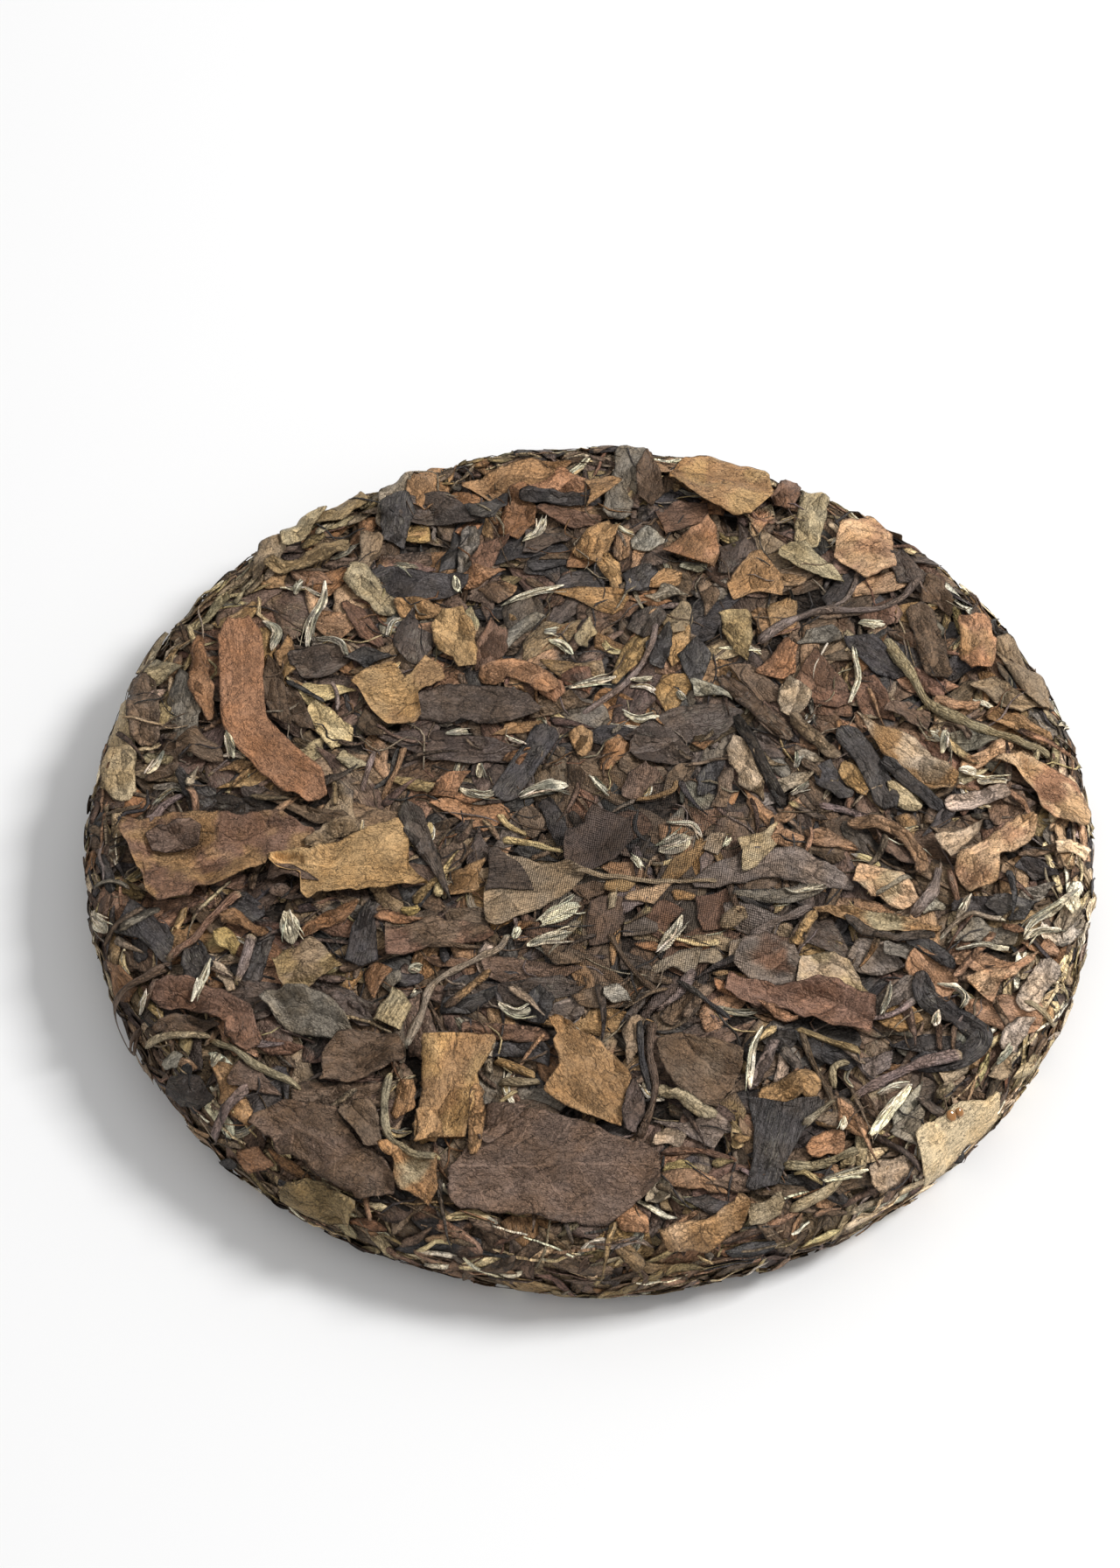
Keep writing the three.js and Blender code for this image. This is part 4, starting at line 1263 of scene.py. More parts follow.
shownLeaves = [
    sheet([(1, -2), (8, -4), (9, -10), (5, -14), (0, -17), (-5, -15), (-5, -9)], 60, "plum", veins=0.2),
    sheet([(-19, -11), (-15, -12.5), (-10, -15), (-4, -15), (0, -17), (-4, -21), (-10, -26), (-18, -30),
          (-20, -29), (-20, -21)], 25, "wovenTan", veins=0.3),
    sheet([(-20, -12), (-18, -12), (-13, -16), (-10, -21.5), (-20, -21.5)], 0, "plum", veins=0),
    sheet([(-36, 26), (-30, 29), (-23, 29), (-13, 28), (-10, 22), (-16, 19), (-28, 19), (-35, 20)], -5,
          "plum"),
    sheet([(13, -54), (17, -53), (25, -54), (29.5, -55.5), (29, -60), (28, -64), (24, -69), (20, -66),
          (15, -62)], -30, "bark", blot="umber", veins=0.4),
    sheet([(-60, -37), (-55, -35), (-53, -33), (-50, -34), (-46, -40), (-50, -42), (-55, -46), (-58, -43)],
          0, "moss", blot="fawn", lift=(0.3, 0.4, 0.5, 0)),
    strip([(-55, -33), (-50, -29), (-44, -24)], 3.8, "rust", "whole", roll=(0.7, 0.7)),
    sheet([(-39, -29.5), (-33, -30), (-31, -28.5), (-22, -29), (-17, -31), (-20, -34), (-30, -34.5),
          (-34, -37), (-38.5, -37.5)], 10, "brick", blot="umber", lift=(0.3, 0, 0.5, 0)),
    {"at": (-36.5, -48), "size": (10, 8), "turn": 65, "tint": "tan", "pleats": 3, "pleatHeight": 0.5,
     "veins": 0},
    {"at": (-52, -50), "size": (19, 9), "turn": -25, "tint": "slate", "style": "whole", "pleats": 2,
     "pleatHeight": 0.6},
    strip([(-82, -45), (-73, -46.5), (-66, -50), (-62, -58)], 6, "brick", lift=(0.3, 0, 0.8, 0.2)),
    sheet([(-62, -72), (-55, -69), (-45, -70), (-44.5, -72), (-40, -78), (-36, -81), (-34, -84),
          (-33.5, -87.5), (-40, -87), (-48, -82), (-56, -77)], -28, "bark", blot="cocoa", veins=0.8,
          lift=(0, 0.3, 0.2, 0.7)),
    sheet([(-45, -71), (-44, -69), (-39, -68), (-37.5, -72), (-37, -77), (-40, -78)], -50, "umber"),
    sheet([(-49.5, -59), (-46, -54.5), (-41, -53.5), (-35, -54.5), (-32.5, -59.5), (-36, -62), (-42, -64.5),
          (-49, -65)], 6, "bark", veins=0.6, lift=(0.2, 0.6, 0.3, 0.2)),
    sheet([(-56, -83.5), (-53, -82), (-47, -84), (-40, -87.5), (-41, -90), (-47, -88.5), (-53, -86)], -25,
          "olive"),
    sheet([(-38, -76.5), (-36, -76), (-33, -78.5), (-27, -80), (-26, -86), (-27, -90), (-31, -87),
          (-33, -86), (-35, -80.5)], -55, "copper", blot="tan", pleats=2, pleatHeight=0.35),
    sheet([(-30.8, -54.7), (-23.4, -54.2), (-17.4, -53.9), (-17.1, -58), (-19.6, -62.6), (-19.9, -69.3),
          (-21.8, -75.9), (-24.5, -75.5), (-26.5, -73.4), (-27.1, -77.3), (-30.8, -76.4), (-30.9, -69.5),
          (-30, -65)], 84, "copper", blot="ochre", lift=(0.3, 0.9, 0.5, 0.3), wrinkle=0.5, veins=0.4),
    sheet([(-7, -49.8), (-4.9, -50.2), (-1.7, -52.9), (3.4, -55.8), (6.5, -59.3), (8.7, -62.6), (7.8, -66),
          (6.9, -73.1), (0, -70.6), (-5.3, -68.1), (-7.6, -65.9), (-6.5, -63.2), (-5, -60.5), (-6, -54.6)],
          -58, "copper", lift=(1.0, 0.1, 0.8, 0.4), wrinkle=0.5, folds=4, steep=0.12),
    sheet([(-25.3, -84.8), (-25, -82.5), (-21, -77.2), (-17, -74), (-12.9, -70), (-9.2, -69), (-6, -69.9),
          (0.2, -71.9), (7.1, -74.8), (11.6, -76.5), (13.9, -79), (14.7, -82.5), (10.9, -87.6), (5, -92.4),
          (0.5, -92.8), (-8.5, -91.7), (-17.6, -90.2), (-23.7, -88.7)], 2, "cocoa", veins=1.0,
          lift=(0.2, 0.1, 0, 1.0), wrinkle=0.4, rib=0.2, gap=0.3, folds=3, steep=0.05),
    sheet([(-19.1, -77.1), (-19.8, -69.3), (-9.7, -68.3), (-12.8, -73.5), (-17.2, -77.1)], 35, "cocoa"),
    sheet([(-31, -70), (-28.5, -69.5), (-26, -72), (-25.5, -76), (-31, -77)], 80, "copper"),
    strip([(13, -64), (18, -66.5), (24, -70.5)], 2.6, "reed"),
    sheet([(9, -62.5), (11, -66), (11, -70), (9.5, -74), (7, -73), (6.5, -69)], 85, "plum"),
    strip([(32, -66.5), (36, -65.5), (40, -63), (43, -65)], 4, "copper", lift=(0, 0, 0, 0.6)),
    sheet([(40, -76.5), (41.5, -74), (44, -72), (48, -73), (47, -78), (41, -78.5)], 15, "orange"),
    sheet([(27.2, -36.4), (29.7, -31.1), (34, -29.4), (38.8, -31.7), (40.3, -35.6), (39.4, -41.4),
          (30.5, -40)], 0, "brick", blot="taupe", veins=0.3),
    sheet([(39.9, -34.6), (46.9, -34), (50.8, -38.3), (53.9, -44), (49.8, -43), (43.4, -41), (39.5, -42.3),
          (39.9, -37.5)], -30, "tan", blot="rose"),
    sheet([(25.2, -42.7), (26.1, -38.3), (30.5, -39.7), (34.5, -40.5), (39.3, -42.3), (43.5, -40),
          (49.8, -42.1), (54.5, -44.9), (53.4, -52.5), (46.3, -51.2), (38.4, -48.1), (33.6, -46.8),
          (28.8, -45.9)], -16, "brick", veins=0.9, lift=(0.2, 0.2, 1.0, 0)),
    sheet([(71, -12), (78, -6), (82, -2), (88, 0), (87, -6), (83, -10), (80, -11), (79, -17), (73, -20),
          (71, -15)], 48, "clay", blot="peach"),
    sheet([(67, -7), (72, -5), (77, -2.5), (76, -5), (72, -10), (70, -12), (68, -10)], 35, "rose",
          lift=(0.5, 0.2, 0.5, 0)),
    sheet([(79.5, 12), (86, 15), (90, 12), (95, 7), (97.5, 2), (96, -3), (91, -2), (88.5, 4), (84, 10)], -42,
          "orange", blot="peach", lift=(0, 0, 0.6, 0.2)),
    strip([(20, -19), (28, -15.5), (37, -13.5), (51, -19)], 7.5, "taupe", "whole", veins=1.0),
    sheet([(52.1, -13.5), (55.8, -13.9), (60.7, -15.9), (64.5, -21.8), (60.3, -23.9), (55.5, -21.5),
          (50.7, -18.1)], -35, "peach", blot="tan"),
    sheet([(42.9, -23.9), (50.5, -23.1), (55.4, -24.5), (62.7, -26.3), (68.4, -27), (67.4, -28.7),
          (61.7, -29.8), (55.2, -29.4), (50.4, -26.6), (43.9, -25.5)], -12, "tan", blot="copper",
          lift=(0.2, 0, 0.8, 0)),
    sheet([(71, -39.5), (76, -36.5), (80, -36), (85.5, -33), (84, -35.5), (78, -41), (76, -45), (73, -42)],
          28, "peach", blot="orange", lift=(0.2, 0.4, 0.4, 0)),
    strip([(50, -4), (58, -5), (63, -9), (64.5, -16)], 2.8, "clay"),
    sheet([(-92.4, -6.3), (-88.1, -6.8), (-83.9, -5.8), (-77.1, -4.4), (-67.4, -4.9), (-61.1, -3.7),
          (-53.4, -7.3), (-52, -10.4), (-55, -13.4), (-61.9, -14.2), (-62, -16.8), (-68.3, -20.3),
          (-75.5, -22.2), (-76.1, -24.8), (-82.5, -25.7), (-85.5, -23.2), (-85, -20.9), (-87.5, -18),
          (-89.7, -12.5)], 6, "brick", blot="copper", lift=(1.6, 0.2, 1.6, 0.3), veins=0.7),
    sheet([(-86.8, -10.1), (-84.3, -7.4), (-78, -6.2), (-75.5, -8.3), (-75.6, -11.1), (-79.5, -13.3),
          (-84.9, -13.7)], 8, "cocoa", folds=0, gap=0.3),
    {"at": (-50, -9), "size": (14, 6), "turn": 30, "tint": "fawn", "style": "scrap"},
    sheet([(-62.6, -15), (-60, -13.9), (-54, -13.8), (-49, -10), (-42.8, -6.8), (-37.5, -5.1), (-35, -9.5),
          (-36.6, -14.2), (-33.2, -18.2), (-30.2, -20.5), (-39.8, -22.2), (-47, -22.6), (-54, -23.8),
          (-55.3, -23), (-54.5, -19.2), (-60, -18)], -2, "ochre", lift=(0.6, 0.5, 1.6, 0.3), veins=0.6),
    sheet([(-71.5, -31.5), (-69, -30.5), (-67, -32), (-66, -34.5), (-67, -37), (-70.5, -34.5)], -50, "khaki",
          lift=(0.4, 0.4, 0.3, 0)),
    strip([(-70.5, -27.5), (-66, -29.5), (-61, -32.5)], 2.8, "rust", roll=(0.5, 0.5)),
    strip([(-80.5, 41), (-80, 32), (-76.5, 19)], 4.4, "rust", "whole"),
    strip([(-73, 46.5), (-71.5, 35), (-70.5, 25), (-69, 18), (-63, 10), (-57, 4.5), (-53.5, 0)], 9, "orange",
          veins=0.7, wrinkle=0.15, jag=0.3, lift=(0, 0.3, 0.9, 0.6), spacing=12, folds=2, steep=0.08),
    sheet([(-49, 29), (-45, 33), (-40, 34.5), (-38, 30), (-34, 36), (-30, 33), (-29, 30.5), (-36, 26),
          (-34, 21), (-35, 18.5), (-41, 18), (-44, 21.5)], 15, "copper", blot="ochre",
          lift=(0.5, 0.4, 0.4, 0.3)),
    sheet([(-33.5, 44), (-31, 49), (-27, 49), (-25, 45), (-24, 40), (-23.5, 33), (-27, 33), (-29, 36),
          (-33, 40)], -68, "ochre", lift=(0.6, 0.2, 0.3, 0)),
    strip([(-23, 30.5), (-17, 33.5), (-11, 31), (-8, 26.5)], 5.4, "orange", blot="rust"),
    sheet([(-5, 17), (-2, 19), (0.5, 17), (0, 11), (-3, 11)], 85, "copper"),
    strip([(-69, 60), (-60, 62), (-51, 67)], 4, "moss"),
    sheet([(15, 86), (18, 92), (24, 94), (32, 92), (37, 88), (38, 82), (33, 76), (27, 77), (20, 82)], -10,
          "copper", blot="ochre"),
    sheet([(24, 76), (26, 74), (26, 65), (25, 60), (22, 64), (14, 65), (18, 70)], 70, "rust", blot="orange"),
    sheet([(50, 65), (52, 74), (58, 78), (63, 72), (63, 62), (56, 60)], 20, "clay", blot="peach"),
    sheet([(25.5, 50), (31, 50), (33, 43), (31.5, 36), (29, 38), (27, 43)], -70, "moss"),
    sheet([(39.5, 43), (42, 41), (41.5, 34), (38, 31.5), (33, 33), (36, 37)], 60, "orange"),
    sheet([(40, 33), (44.5, 28), (43, 22.5), (40, 22), (37, 26)], 80, "rose"),
    strip([(40, 23), (44, 18), (49.5, 12)], 2.8, "fawn"),
    sheet([(53, 24), (58, 20), (65, 18), (68, 13), (73, 9), (72, 4), (66, 6), (60, 10), (57, 15)], -42,
          "rose", blot="copper"),
    sheet([(75, 50), (80, 50), (83, 43), (81, 36), (77, 35), (75, 40)], 90, "orange", blot="copper"),
    sheet([(60, -73), (65, -68.5), (68, -65.5), (72, -64), (76, -61), (76, -64.5), (72, -69.5), (67, -74.5),
          (62, -78.5), (60.5, -78)], 42, "sand", wrinkle=0.15, veins=0.2, spacing=14),
    sheet([(13, -93), (18, -92), (24, -90), (28, -86), (30.5, -87), (28, -92), (22, -95), (15, -95.5)], 20,
          "copper", blot="peach"),
]
leafGrid = {
    "cell": 0.62, "stray": 0.04, "stiff": 5, "gap": 0.1, "wrinkle": 0.5, "jag": 1.0, "folds": 6, "steep": 0.2,
    "sunk": 0.04,
}
for leaf in shownLeaves:
    layLeaf(broadLeaves, **{**leafGrid, **leaf}, seen=True)

# Small leaves that lie over the large ones
topLeaves = [
    (32.5, -9.5, 11, 6, 48, "tan"), (24, -9, 5, 3.8, 60, "rose"), (27.6, -26.5, 6, 4.4, 60, "fawn"),
    (41, -29, 7, 1.8, 62, "ochre", "strip"), (94.5, -7.5, 9, 5, 5, "buff"), (4.6, -23, 5.4, 1.8, 80, "tan"),
    (6, -19.6, 5, 2.8, 0, "ochre"), (12, -22, 8, 4, 20, "peach"), (6, -44.3, 4.6, 3.6, 20, "sage"),
    (72.5, -54, 9, 4.4, 80, "copper"), (35.5, -47.8, 7, 2.4, -25, "orange"),
    (-57, -18.4, 9, 2.8, -5, "cocoa"), (-78, -28, 5, 1.8, 80, "ochre"), (-77, -58.5, 5, 3.4, 20, "sage"),
    (-82, -56, 7, 4.4, -25, "fawn"), (18.7, -13.3, 12, 3.6, 48, "copper"), (66, -23, 6, 4, 40, "sage"),
    (81.6, -27.5, 5, 2.2, -8, "orange"), (-36, -28, 8, 2.8, -10, "orange"),
    (-34, -26, 3.6, 2.4, 10, "khaki"), (76, 3, 10, 3, 15, "shell", "strip"), (15.5, -75, 6, 4, 0, "rose"),
    (84.5, -40, 10, 3.2, 60, "shell", "strip"), (-62, 73, 13, 5, 60, "hemp"), (80, -50, 9, 4, 50, "shell"),
    (-19.8, -72, 11, 2.2, 88, "copper", "strip"), (-26, 0.6, 11, 3, 0, "orange"),
    (69, -59, 8, 3, 40, "rose"), (62, 3, 7, 4, -50, "tan", "whole"), (24, 28.6, 7, 3.6, -20, "sage"),
    (30.8, 10.5, 11, 5, -72, "rose"),
]
laySmall(topLeaves)

# The dark twisted leaves that show
shownTwists = [
    sheet([(-42, -23), (-39, -24), (-40.5, -29), (-39.5, -38), (-43, -40), (-46, -38), (-45, -30)], 80,
          "coal"),
    strip([(-36, -1), (-33, -9), (-30, -15), (-26.5, -23.5)], 5, "plum", "point"),
    strip([(-18, 0), (-13, 9), (-8, 19)], 5.4, "coal"),
    strip([(63, -38), (64, -44), (69, -47), (73.5, -52), (69, -57), (60, -58)], 4.2, "coal", pleats=2),
    sheet([(30, -65.5), (33, -68), (38, -66.5), (44, -65.5), (44, -68), (40, -73), (37, -79), (35, -84),
          (29, -85.5), (30.5, -79), (31, -73)], 75, "coal", pleats=3),
    strip([(50, 20), (55, 12), (59, 0)], 5.4, "coal", pleats=2),
    strip([(58, 12), (64, 6), (69, 0)], 3.4, "coal"),
    sheet([(51, 44), (58, 44), (61, 40), (64, 34), (62, 32), (57, 35), (52, 41)], -40, "coal", pleats=2),
    strip([(60, -30.5), (65, -32.5), (69.5, -37.5)], 3.8, "coal", "whole"),
    strip([(28, -21.5), (37, -21), (46, -19)], 3.6, "slate", "whole", pleats=2),
    strip([(49, -25.5), (55, -30.3), (66, -29.5)], 2, "plum"),
    strip([(26, 32), (30, 28), (35, 22), (40, 17)], 3.4, "bark"),
    strip([(29, 22), (33, 13), (38, 0)], 2.4, "soot"),
]
twistGrid = {
    "cell": 0.6, "stray": 0.06, "jag": 0.25, "veins": 0.1, "wrinkle": 0.25, "pleats": 1, "pleatHeight": 0.7,
    "gap": 0.15,
}
for leaf in shownTwists:
    layLeaf(darkLeaves, **{**twistGrid, **leaf})

# The stems that show: path, thickness, tint, and the tint of broken ends
shownStems = [
    ([(-67, -22), (-72, -28), (-76, -34), (-80, -38)], 2.0, "reddish", "tan"),
    ([(-64, -32), (-66, -43.5)], 1.8, "mauve", "straw"),
    ([(-15, -31), (-17, -35), (-24, -39), (-29, -43), (-31, -50), (-33.5, -56)], 1.7, "stone", "cream"),
    ([(-3, -17), (5, -17.5), (14, -18.5), (25, -18)], 1.3, "reed"),
    ([(-30, -34.7), (-20, -34.2)], 1.0, "umber"),
    ([(-70, -55), (-65, -58), (-61, -61), (-55, -64), (-52, -66)], 1.5, "reed", "copper"),
    ([(-36, -62), (-36.7, -69), (-35.5, -75), (-31, -79), (-26, -80)], 1.6, "reed", "straw"),
    ([(31, -30), (37, -26.5), (43, -23)], 2.0, "mauve"),
    ([(70, -56), (60, -59), (53, -63), (49, -66)], 2.1, "mauve", "straw"),
    ([(39, -51.5), (45, -53.5), (51, -56)], 1.6, "moss"),
    ([(12.5, -50), (12, -57), (13, -65), (10, -75)], 1.8, "umber"),
    ([(10, -50), (10.5, -58), (12, -65)], 1.3, "coal"),
    ([(34, 42), (40, 47), (46, 50), (60, 52), (68, 60)], 1.9, "mauve"),
    ([(60, 44), (65, 33), (69, 26), (76, 21.5), (84, 18), (92, 15)], 2.3, "reed"),
    ([(-18, -3), (-16, -6), (-12, -8)], 1.5, "straw"), ([(-17, -9), (-11, -10), (-5, -12.5)], 1.6, "straw"),
    ([(-16, -63.7), (-12, -63.5), (-8, -63)], 1.8, "hemp"),
    ([(-17, -59), (-13, -60.5), (-9, -62)], 1.5, "ochre"), ([(-16, -68), (-12.5, -65)], 1.2, "straw"),
    ([(55, -21), (62.5, -16)], 1.5, "stone"), ([(68, -13), (66, -20), (62, -25)], 2.2, "mauve"),
    ([(70, -13), (70.5, -17), (71, -22)], 1.5, "brick"),
    ([(67, -30), (72, -25.5), (80, -25.5)], 1.2, "stone", "cream"),
    ([(82, -44), (87, -45.5), (91, -43)], 1.2, "reed"), ([(4, -31), (8, -38), (13, -44)], 1.3, "umber"),
    ([(17, -41), (22, -45), (27, -49)], 1.2, "coal"),
    ([(-2, 22), (5, 28), (9, 33), (12, 40), (13, 46)], 1.4, "mauve"), ([(-43, 12), (-45, 2)], 1.3, "mauve"),
    ([(-37, 13), (-39, 5), (-41, 0)], 1.2, "clay"),
    ([(40, -52), (42, -58), (45, -65), (46, -69)], 1.4, "umber"),
    ([(46, -63), (46, -59.5), (49, -58)], 1.3, "reed"), ([(36, -80), (43, -79.5), (50, -76)], 1.8, "reed"),
    ([(37, -88), (44, -84), (47, -81)], 1.6, "reed"), ([(40, -72), (46, -66)], 1.4, "stone"),
    ([(14, -77.5), (21, -77.5), (28, -78.5)], 1.3, "brick"), ([(-81, -42), (-83, -48)], 1.0, "cocoa"),
    ([(9, 0.5), (16, 3), (17, 6)], 1.3, "copper"), ([(-86, -7), (-84, -2), (-80, 1)], 1.5, "mauve"),
]
stemGrid = {"sides": 8, "step": 0.9}
for path, thick, tint, *ends in shownStems:
    tip = ends[0] if ends else None
    layStem(stems, path, thick=thick, tint=tint, tip=tip, seen=True, proud=0.5, **stemGrid)
for aside in (0, 1.1):  # a double strand that loops out over the rim
    path = [(-79, -38.5 - aside), (-85, -42 - aside), (-90, -45.5 - aside), (-93.5 + aside, -49),
            (-93 + aside, -53.5), (-89, -55 + aside), (-86, -51)]
    layStem(stems, path, thick=1.3, tint="umber", lift=(0, 0.3, 1.5, 2.6, 2.6, 1.2, -0.3), **stemGrid)

# The silver buds and frayed pale strands that show: width, then the path
shownBuds = [
    (1.8, (-71.5, -38), (-72.5, -43), (-74, -47)), (4.6, (-9.5, -29), (-6, -26.5), (-1.5, -24)),
    (3.2, (-12, -34), (-8, -32.5), (-3, -31)), (1.6, (-14, -32.5), (-13, -29.5)),
    (5.6, (13, -11), (16, -10), (20, -8)), (1.6, (15, -4.5), (20, -5), (22, -8)),
    (1.6, (8, -12), (10.5, -16)), (1.4, (26, -10), (27.5, -8)), (3.0, (13, -35), (16, -31), (18, -26.5)),
    (1.1, (38, -19.3), (40, -20.4), (45, -19)), (2.0, (66, -46.5), (65, -50)),
    (1.4, (57.5, -40), (56.5, -44), (55, -48)), (1.5, (66, -40.5), (70, -41.5), (71.5, -43.5), (70.5, -46)),
    (1.5, (70, -32.5), (75, -31.5), (80, -32)), (1.8, (94, -17), (90, -22), (85, -26), (83, -30)),
    (1.6, (91, -27), (86, -28), (83, -31)), (2.0, (73.5, -20), (72, -23), (70.5, -26)),
    (1.7, (33, -51), (31, -56), (30.3, -65)), (1.8, (54, -65), (57, -63), (60, -62.5)),
    (2.8, (60, -63), (56, -68), (52, -74)), (1.7, (47.5, -70), (47, -73)),
    (1.4, (43, -83), (47, -81.5), (51, -80)), (2.3, (-56, 57), (-56, 51), (-58, 45), (-58.5, 38)),
    (1.8, (-57, 41), (-52, 40), (-50, 36)), (2.8, (-68, 46), (-65, 43), (-65.5, 38)),
    (2.1, (-19, 50), (-13, 53.5), (-6, 55.5)), (3.8, (-14, 1), (-9, 3.5), (-4, 4)),
    (2.8, (-26, 3), (-22, 1.2), (-18, 1.5)), (2.0, (-22, 9), (-22, 5.5)), (2.2, (-29, 16.3), (-24, 17.5)),
    (1.3, (-17, 16), (-13, 13.5)), (2.6, (-15, 68), (-12, 71), (-10.5, 76)), (2.4, (73, 10), (77, 9.5)),
    (3.4, (76, 8), (83, 7)), (2.0, (-5, 28.5), (0, 30), (5, 31.5)), (1.7, (8, 30.5), (12.5, 31.5)),
    (1.7, (6, 23), (9, 21), (13, 21)), (1.5, (52, 26), (54, 33), (53, 40)), (2.0, (93, 33), (95, 28)),
    (2.0, (95, 28), (93.5, 23)), (4.4, (-58, -26), (-57, -30), (-56, -34.5)),
    (1.3, (-33, -45.7), (-31.5, -44)), (2.4, (-17, -47), (-13, -49), (-10, -48)),
    (1.6, (-84, -48.5), (-82.5, -44.5)), (3.2, (-96, -23), (-94, -27), (-91, -31)),
    (3.0, (-34, -39.5), (-31, -39)), (2.4, (-9, 41), (-6, 39.5), (-4, 37)), (1.8, (-10, 43), (-7, 43)),
    (1.9, (17, 28.5), (19, 25.5)), (1.4, (40.5, 9), (41.5, 12.5)), (1.6, (39, 2.5), (43.5, 5.5)),
    (2.2, (55, 48), (59.5, 47)), (2.0, (71, 20), (70, 14)), (2.6, (-42, 61), (-37, 59.5)),
    (2.0, (-29, 58), (-28, 53)), (2.0, (-62, 53), (-61, 57)), (2.0, (-69, -61), (-68, -58)),
    (2.2, (-73, 16), (-71, 10)), (1.8, (-88, 5), (-85, 10)), (1.6, (0, 7), (2, 4), (4, 2)),
    (1.3, (75.5, -57.5), (79, -53)),
]
for wide, *path in shownBuds:
    layBud(silverBuds, path, wide, seen=True, tint="cream", tip="sage", hairs=int(3 + wide))
print("shown pieces laid")

# The underside, pressed flat on the table
underRule = {
    **midRule, "count": 880, "far": 96, "long": (11, 28), "wide": (5, 12), "cell": 2.3, "lift": 0.0,
    "rolled": 0.0, "wrinkle": 0.12, "pleated": 0.2,
}
scatterLeaves(underLeaves, underRule, spiral(underRule))
print("underside laid")
for pile in (facePile, underPile):
    pile.press()


# Finishes: a socket whose operators add Math nodes
class Socket:
    def __init__(self, finish, link):
        self.finish, self.link = finish, link

    def do(self, operation, *values):
        return self.finish.node("ShaderNodeMath", {"operation": operation}, dict(enumerate(values)))[0]

    def __add__(self, other):
        return self.do("ADD", self, other)

    def __sub__(self, other):
        return self.do("SUBTRACT", self, other)

    def __rsub__(self, other):
        return self.do("SUBTRACT", other, self)

    def __mul__(self, other):
        return self.do("MULTIPLY", self, other)

    def __truediv__(self, other):
        return self.do("DIVIDE", self, other)

    def __rtruediv__(self, other):
        return self.do("DIVIDE", other, self)

    def __abs__(self):
        return self.do("ABSOLUTE", self)

    def sine(self):
        return self.do("SINE", self)

    def fraction(self):
        return self.do("FRACT", self)

    def atLeast(self, least):
        return self.do("MAXIMUM", self, least)

    def held(self):  # between 0 and 1
        return self.finish.node("ShaderNodeClamp", {}, {0: self})[0]

    def past(self, start, steep):  # 0 up to the start, then rising to 1
        return ((self - start) * steep).held()

    def near(self, middle, steep):  # 1 at the middle, falling to 0 on both sides
        return (1 - abs(self - middle) * steep).held()

    def within(self, full, wide):  # 1 close to a line, falling to 0 away from it
        return (full - self / wide).held()

    __radd__, __rmul__ = __add__, __mul__


class Finish:
    def __init__(self, name):
        self.material = bpy.data.materials.new(name)
        self.material.use_nodes = True
        self.nodes, self.links = self.material.node_tree.nodes, self.material.node_tree.links
        self.nodes.clear()
        self.surface = self.nodes.new("ShaderNodeBsdfPrincipled")
        output = self.nodes.new("ShaderNodeOutputMaterial")
        self.links.new(self.surface.outputs[0], output.inputs["Surface"])

    def node(self, kind, settings, sockets):
        made = self.nodes.new(kind)
        for key, value in settings.items():
            setattr(made, key, value)
        for key, value in sockets.items():
            self.feed(made.inputs[key], value)
        return [Socket(self, out) for out in made.outputs]

    def feed(self, socket, value):
        if isinstance(value, Socket):
            self.links.new(value.link, socket)
        else:
            socket.default_value = value

    def give(self, values):  # to the surface
        for name, value in values.items():
            self.feed(self.surface.inputs[name], value)

    def noise(self, vector, scale, detail=3, rough=0.6):
        sockets = {"Vector": vector, "Scale": scale, "Detail": detail, "Roughness": rough}
        return self.node("ShaderNodeTexNoise", {}, sockets)[0]

    def cells(self, vector, scale):  # distance to the nearest border between cells
        settings = {"feature": "DISTANCE_TO_EDGE", "voronoi_dimensions": "2D"}
        return self.node("ShaderNodeTexVoronoi", settings, {"Vector": vector, "Scale": scale})[0]

    def vectors(self, operation, *values):
        return self.node("ShaderNodeVectorMath", {"operation": operation}, dict(enumerate(values)))

    def stretch(self, vector, factors):
        return self.vectors("MULTIPLY", vector, factors)[0]

    def scaled(self, colour, factor):
        return self.node("ShaderNodeVectorMath", {"operation": "SCALE"}, {0: colour, "Scale": factor})[0]

    def mix(self, a, b, share):
        return self.node("ShaderNodeMix", {"data_type": "RGBA"}, {0: share, 6: a, 7: b})[2]

    def attribute(self, name):
        return self.node("ShaderNodeAttribute", {"attribute_name": name}, {})

    def split(self, vector):
        return self.node("ShaderNodeSeparateXYZ", {}, {0: vector})


# Strengths of what shows on a leaf; the glint is a painted highlight, and the edge, crease and crack lines
# are painted shade
leafLook = {
    "rough": 0.6, "shine": 0.28, "bright": 2.06, "relief": 0.36,
    "cloud": 0.4, "mottle": 0.75, "speck": 1.6, "fibre": 2.1, "shade": 0.35,  # changes of tone
    "vein": 0.7, "net": 0.45, "crease": 0.6, "crack": 0.6, "edge": 0.5, "edgeShadeWide": 0.22,  # lines
    "facet": 2.0, "flake": 7.0, "glint": 0.5, "down": 0.3, "weave": 1.3,
}
# Sizes of the patterns, as noise scales per millimetre, and stretches along and across
leafScale = {
    "cloud": 0.3, "fine": 1.5, "speck": 2.8, "warmth": 0.16, "net": 0.75, "bend": 0.5, "fold": 0.34,
    "finer": 0.85, "flake": 0.4, "down": 0.13,
    "fibreRun": (0.22, 2.4, 1), "warmRun": (1, 1, 3), "foldRun": (0.7, 1.3, 1), "finerRun": (0.6, 1.4, 1),
    "flakeRun": (1.6, 3.2, 0), "hairRun": (0.45, 5.0, 1), "downRun": (1, 1, 2),
}
# The cloth's print, round the middle of the face: pitch in mm, direction, square of how far it shows
clothPrint = {"pitch": 0.58, "cos": 0.8, "sin": 0.6, "middle": (12, -20), "farSquared": 1000}
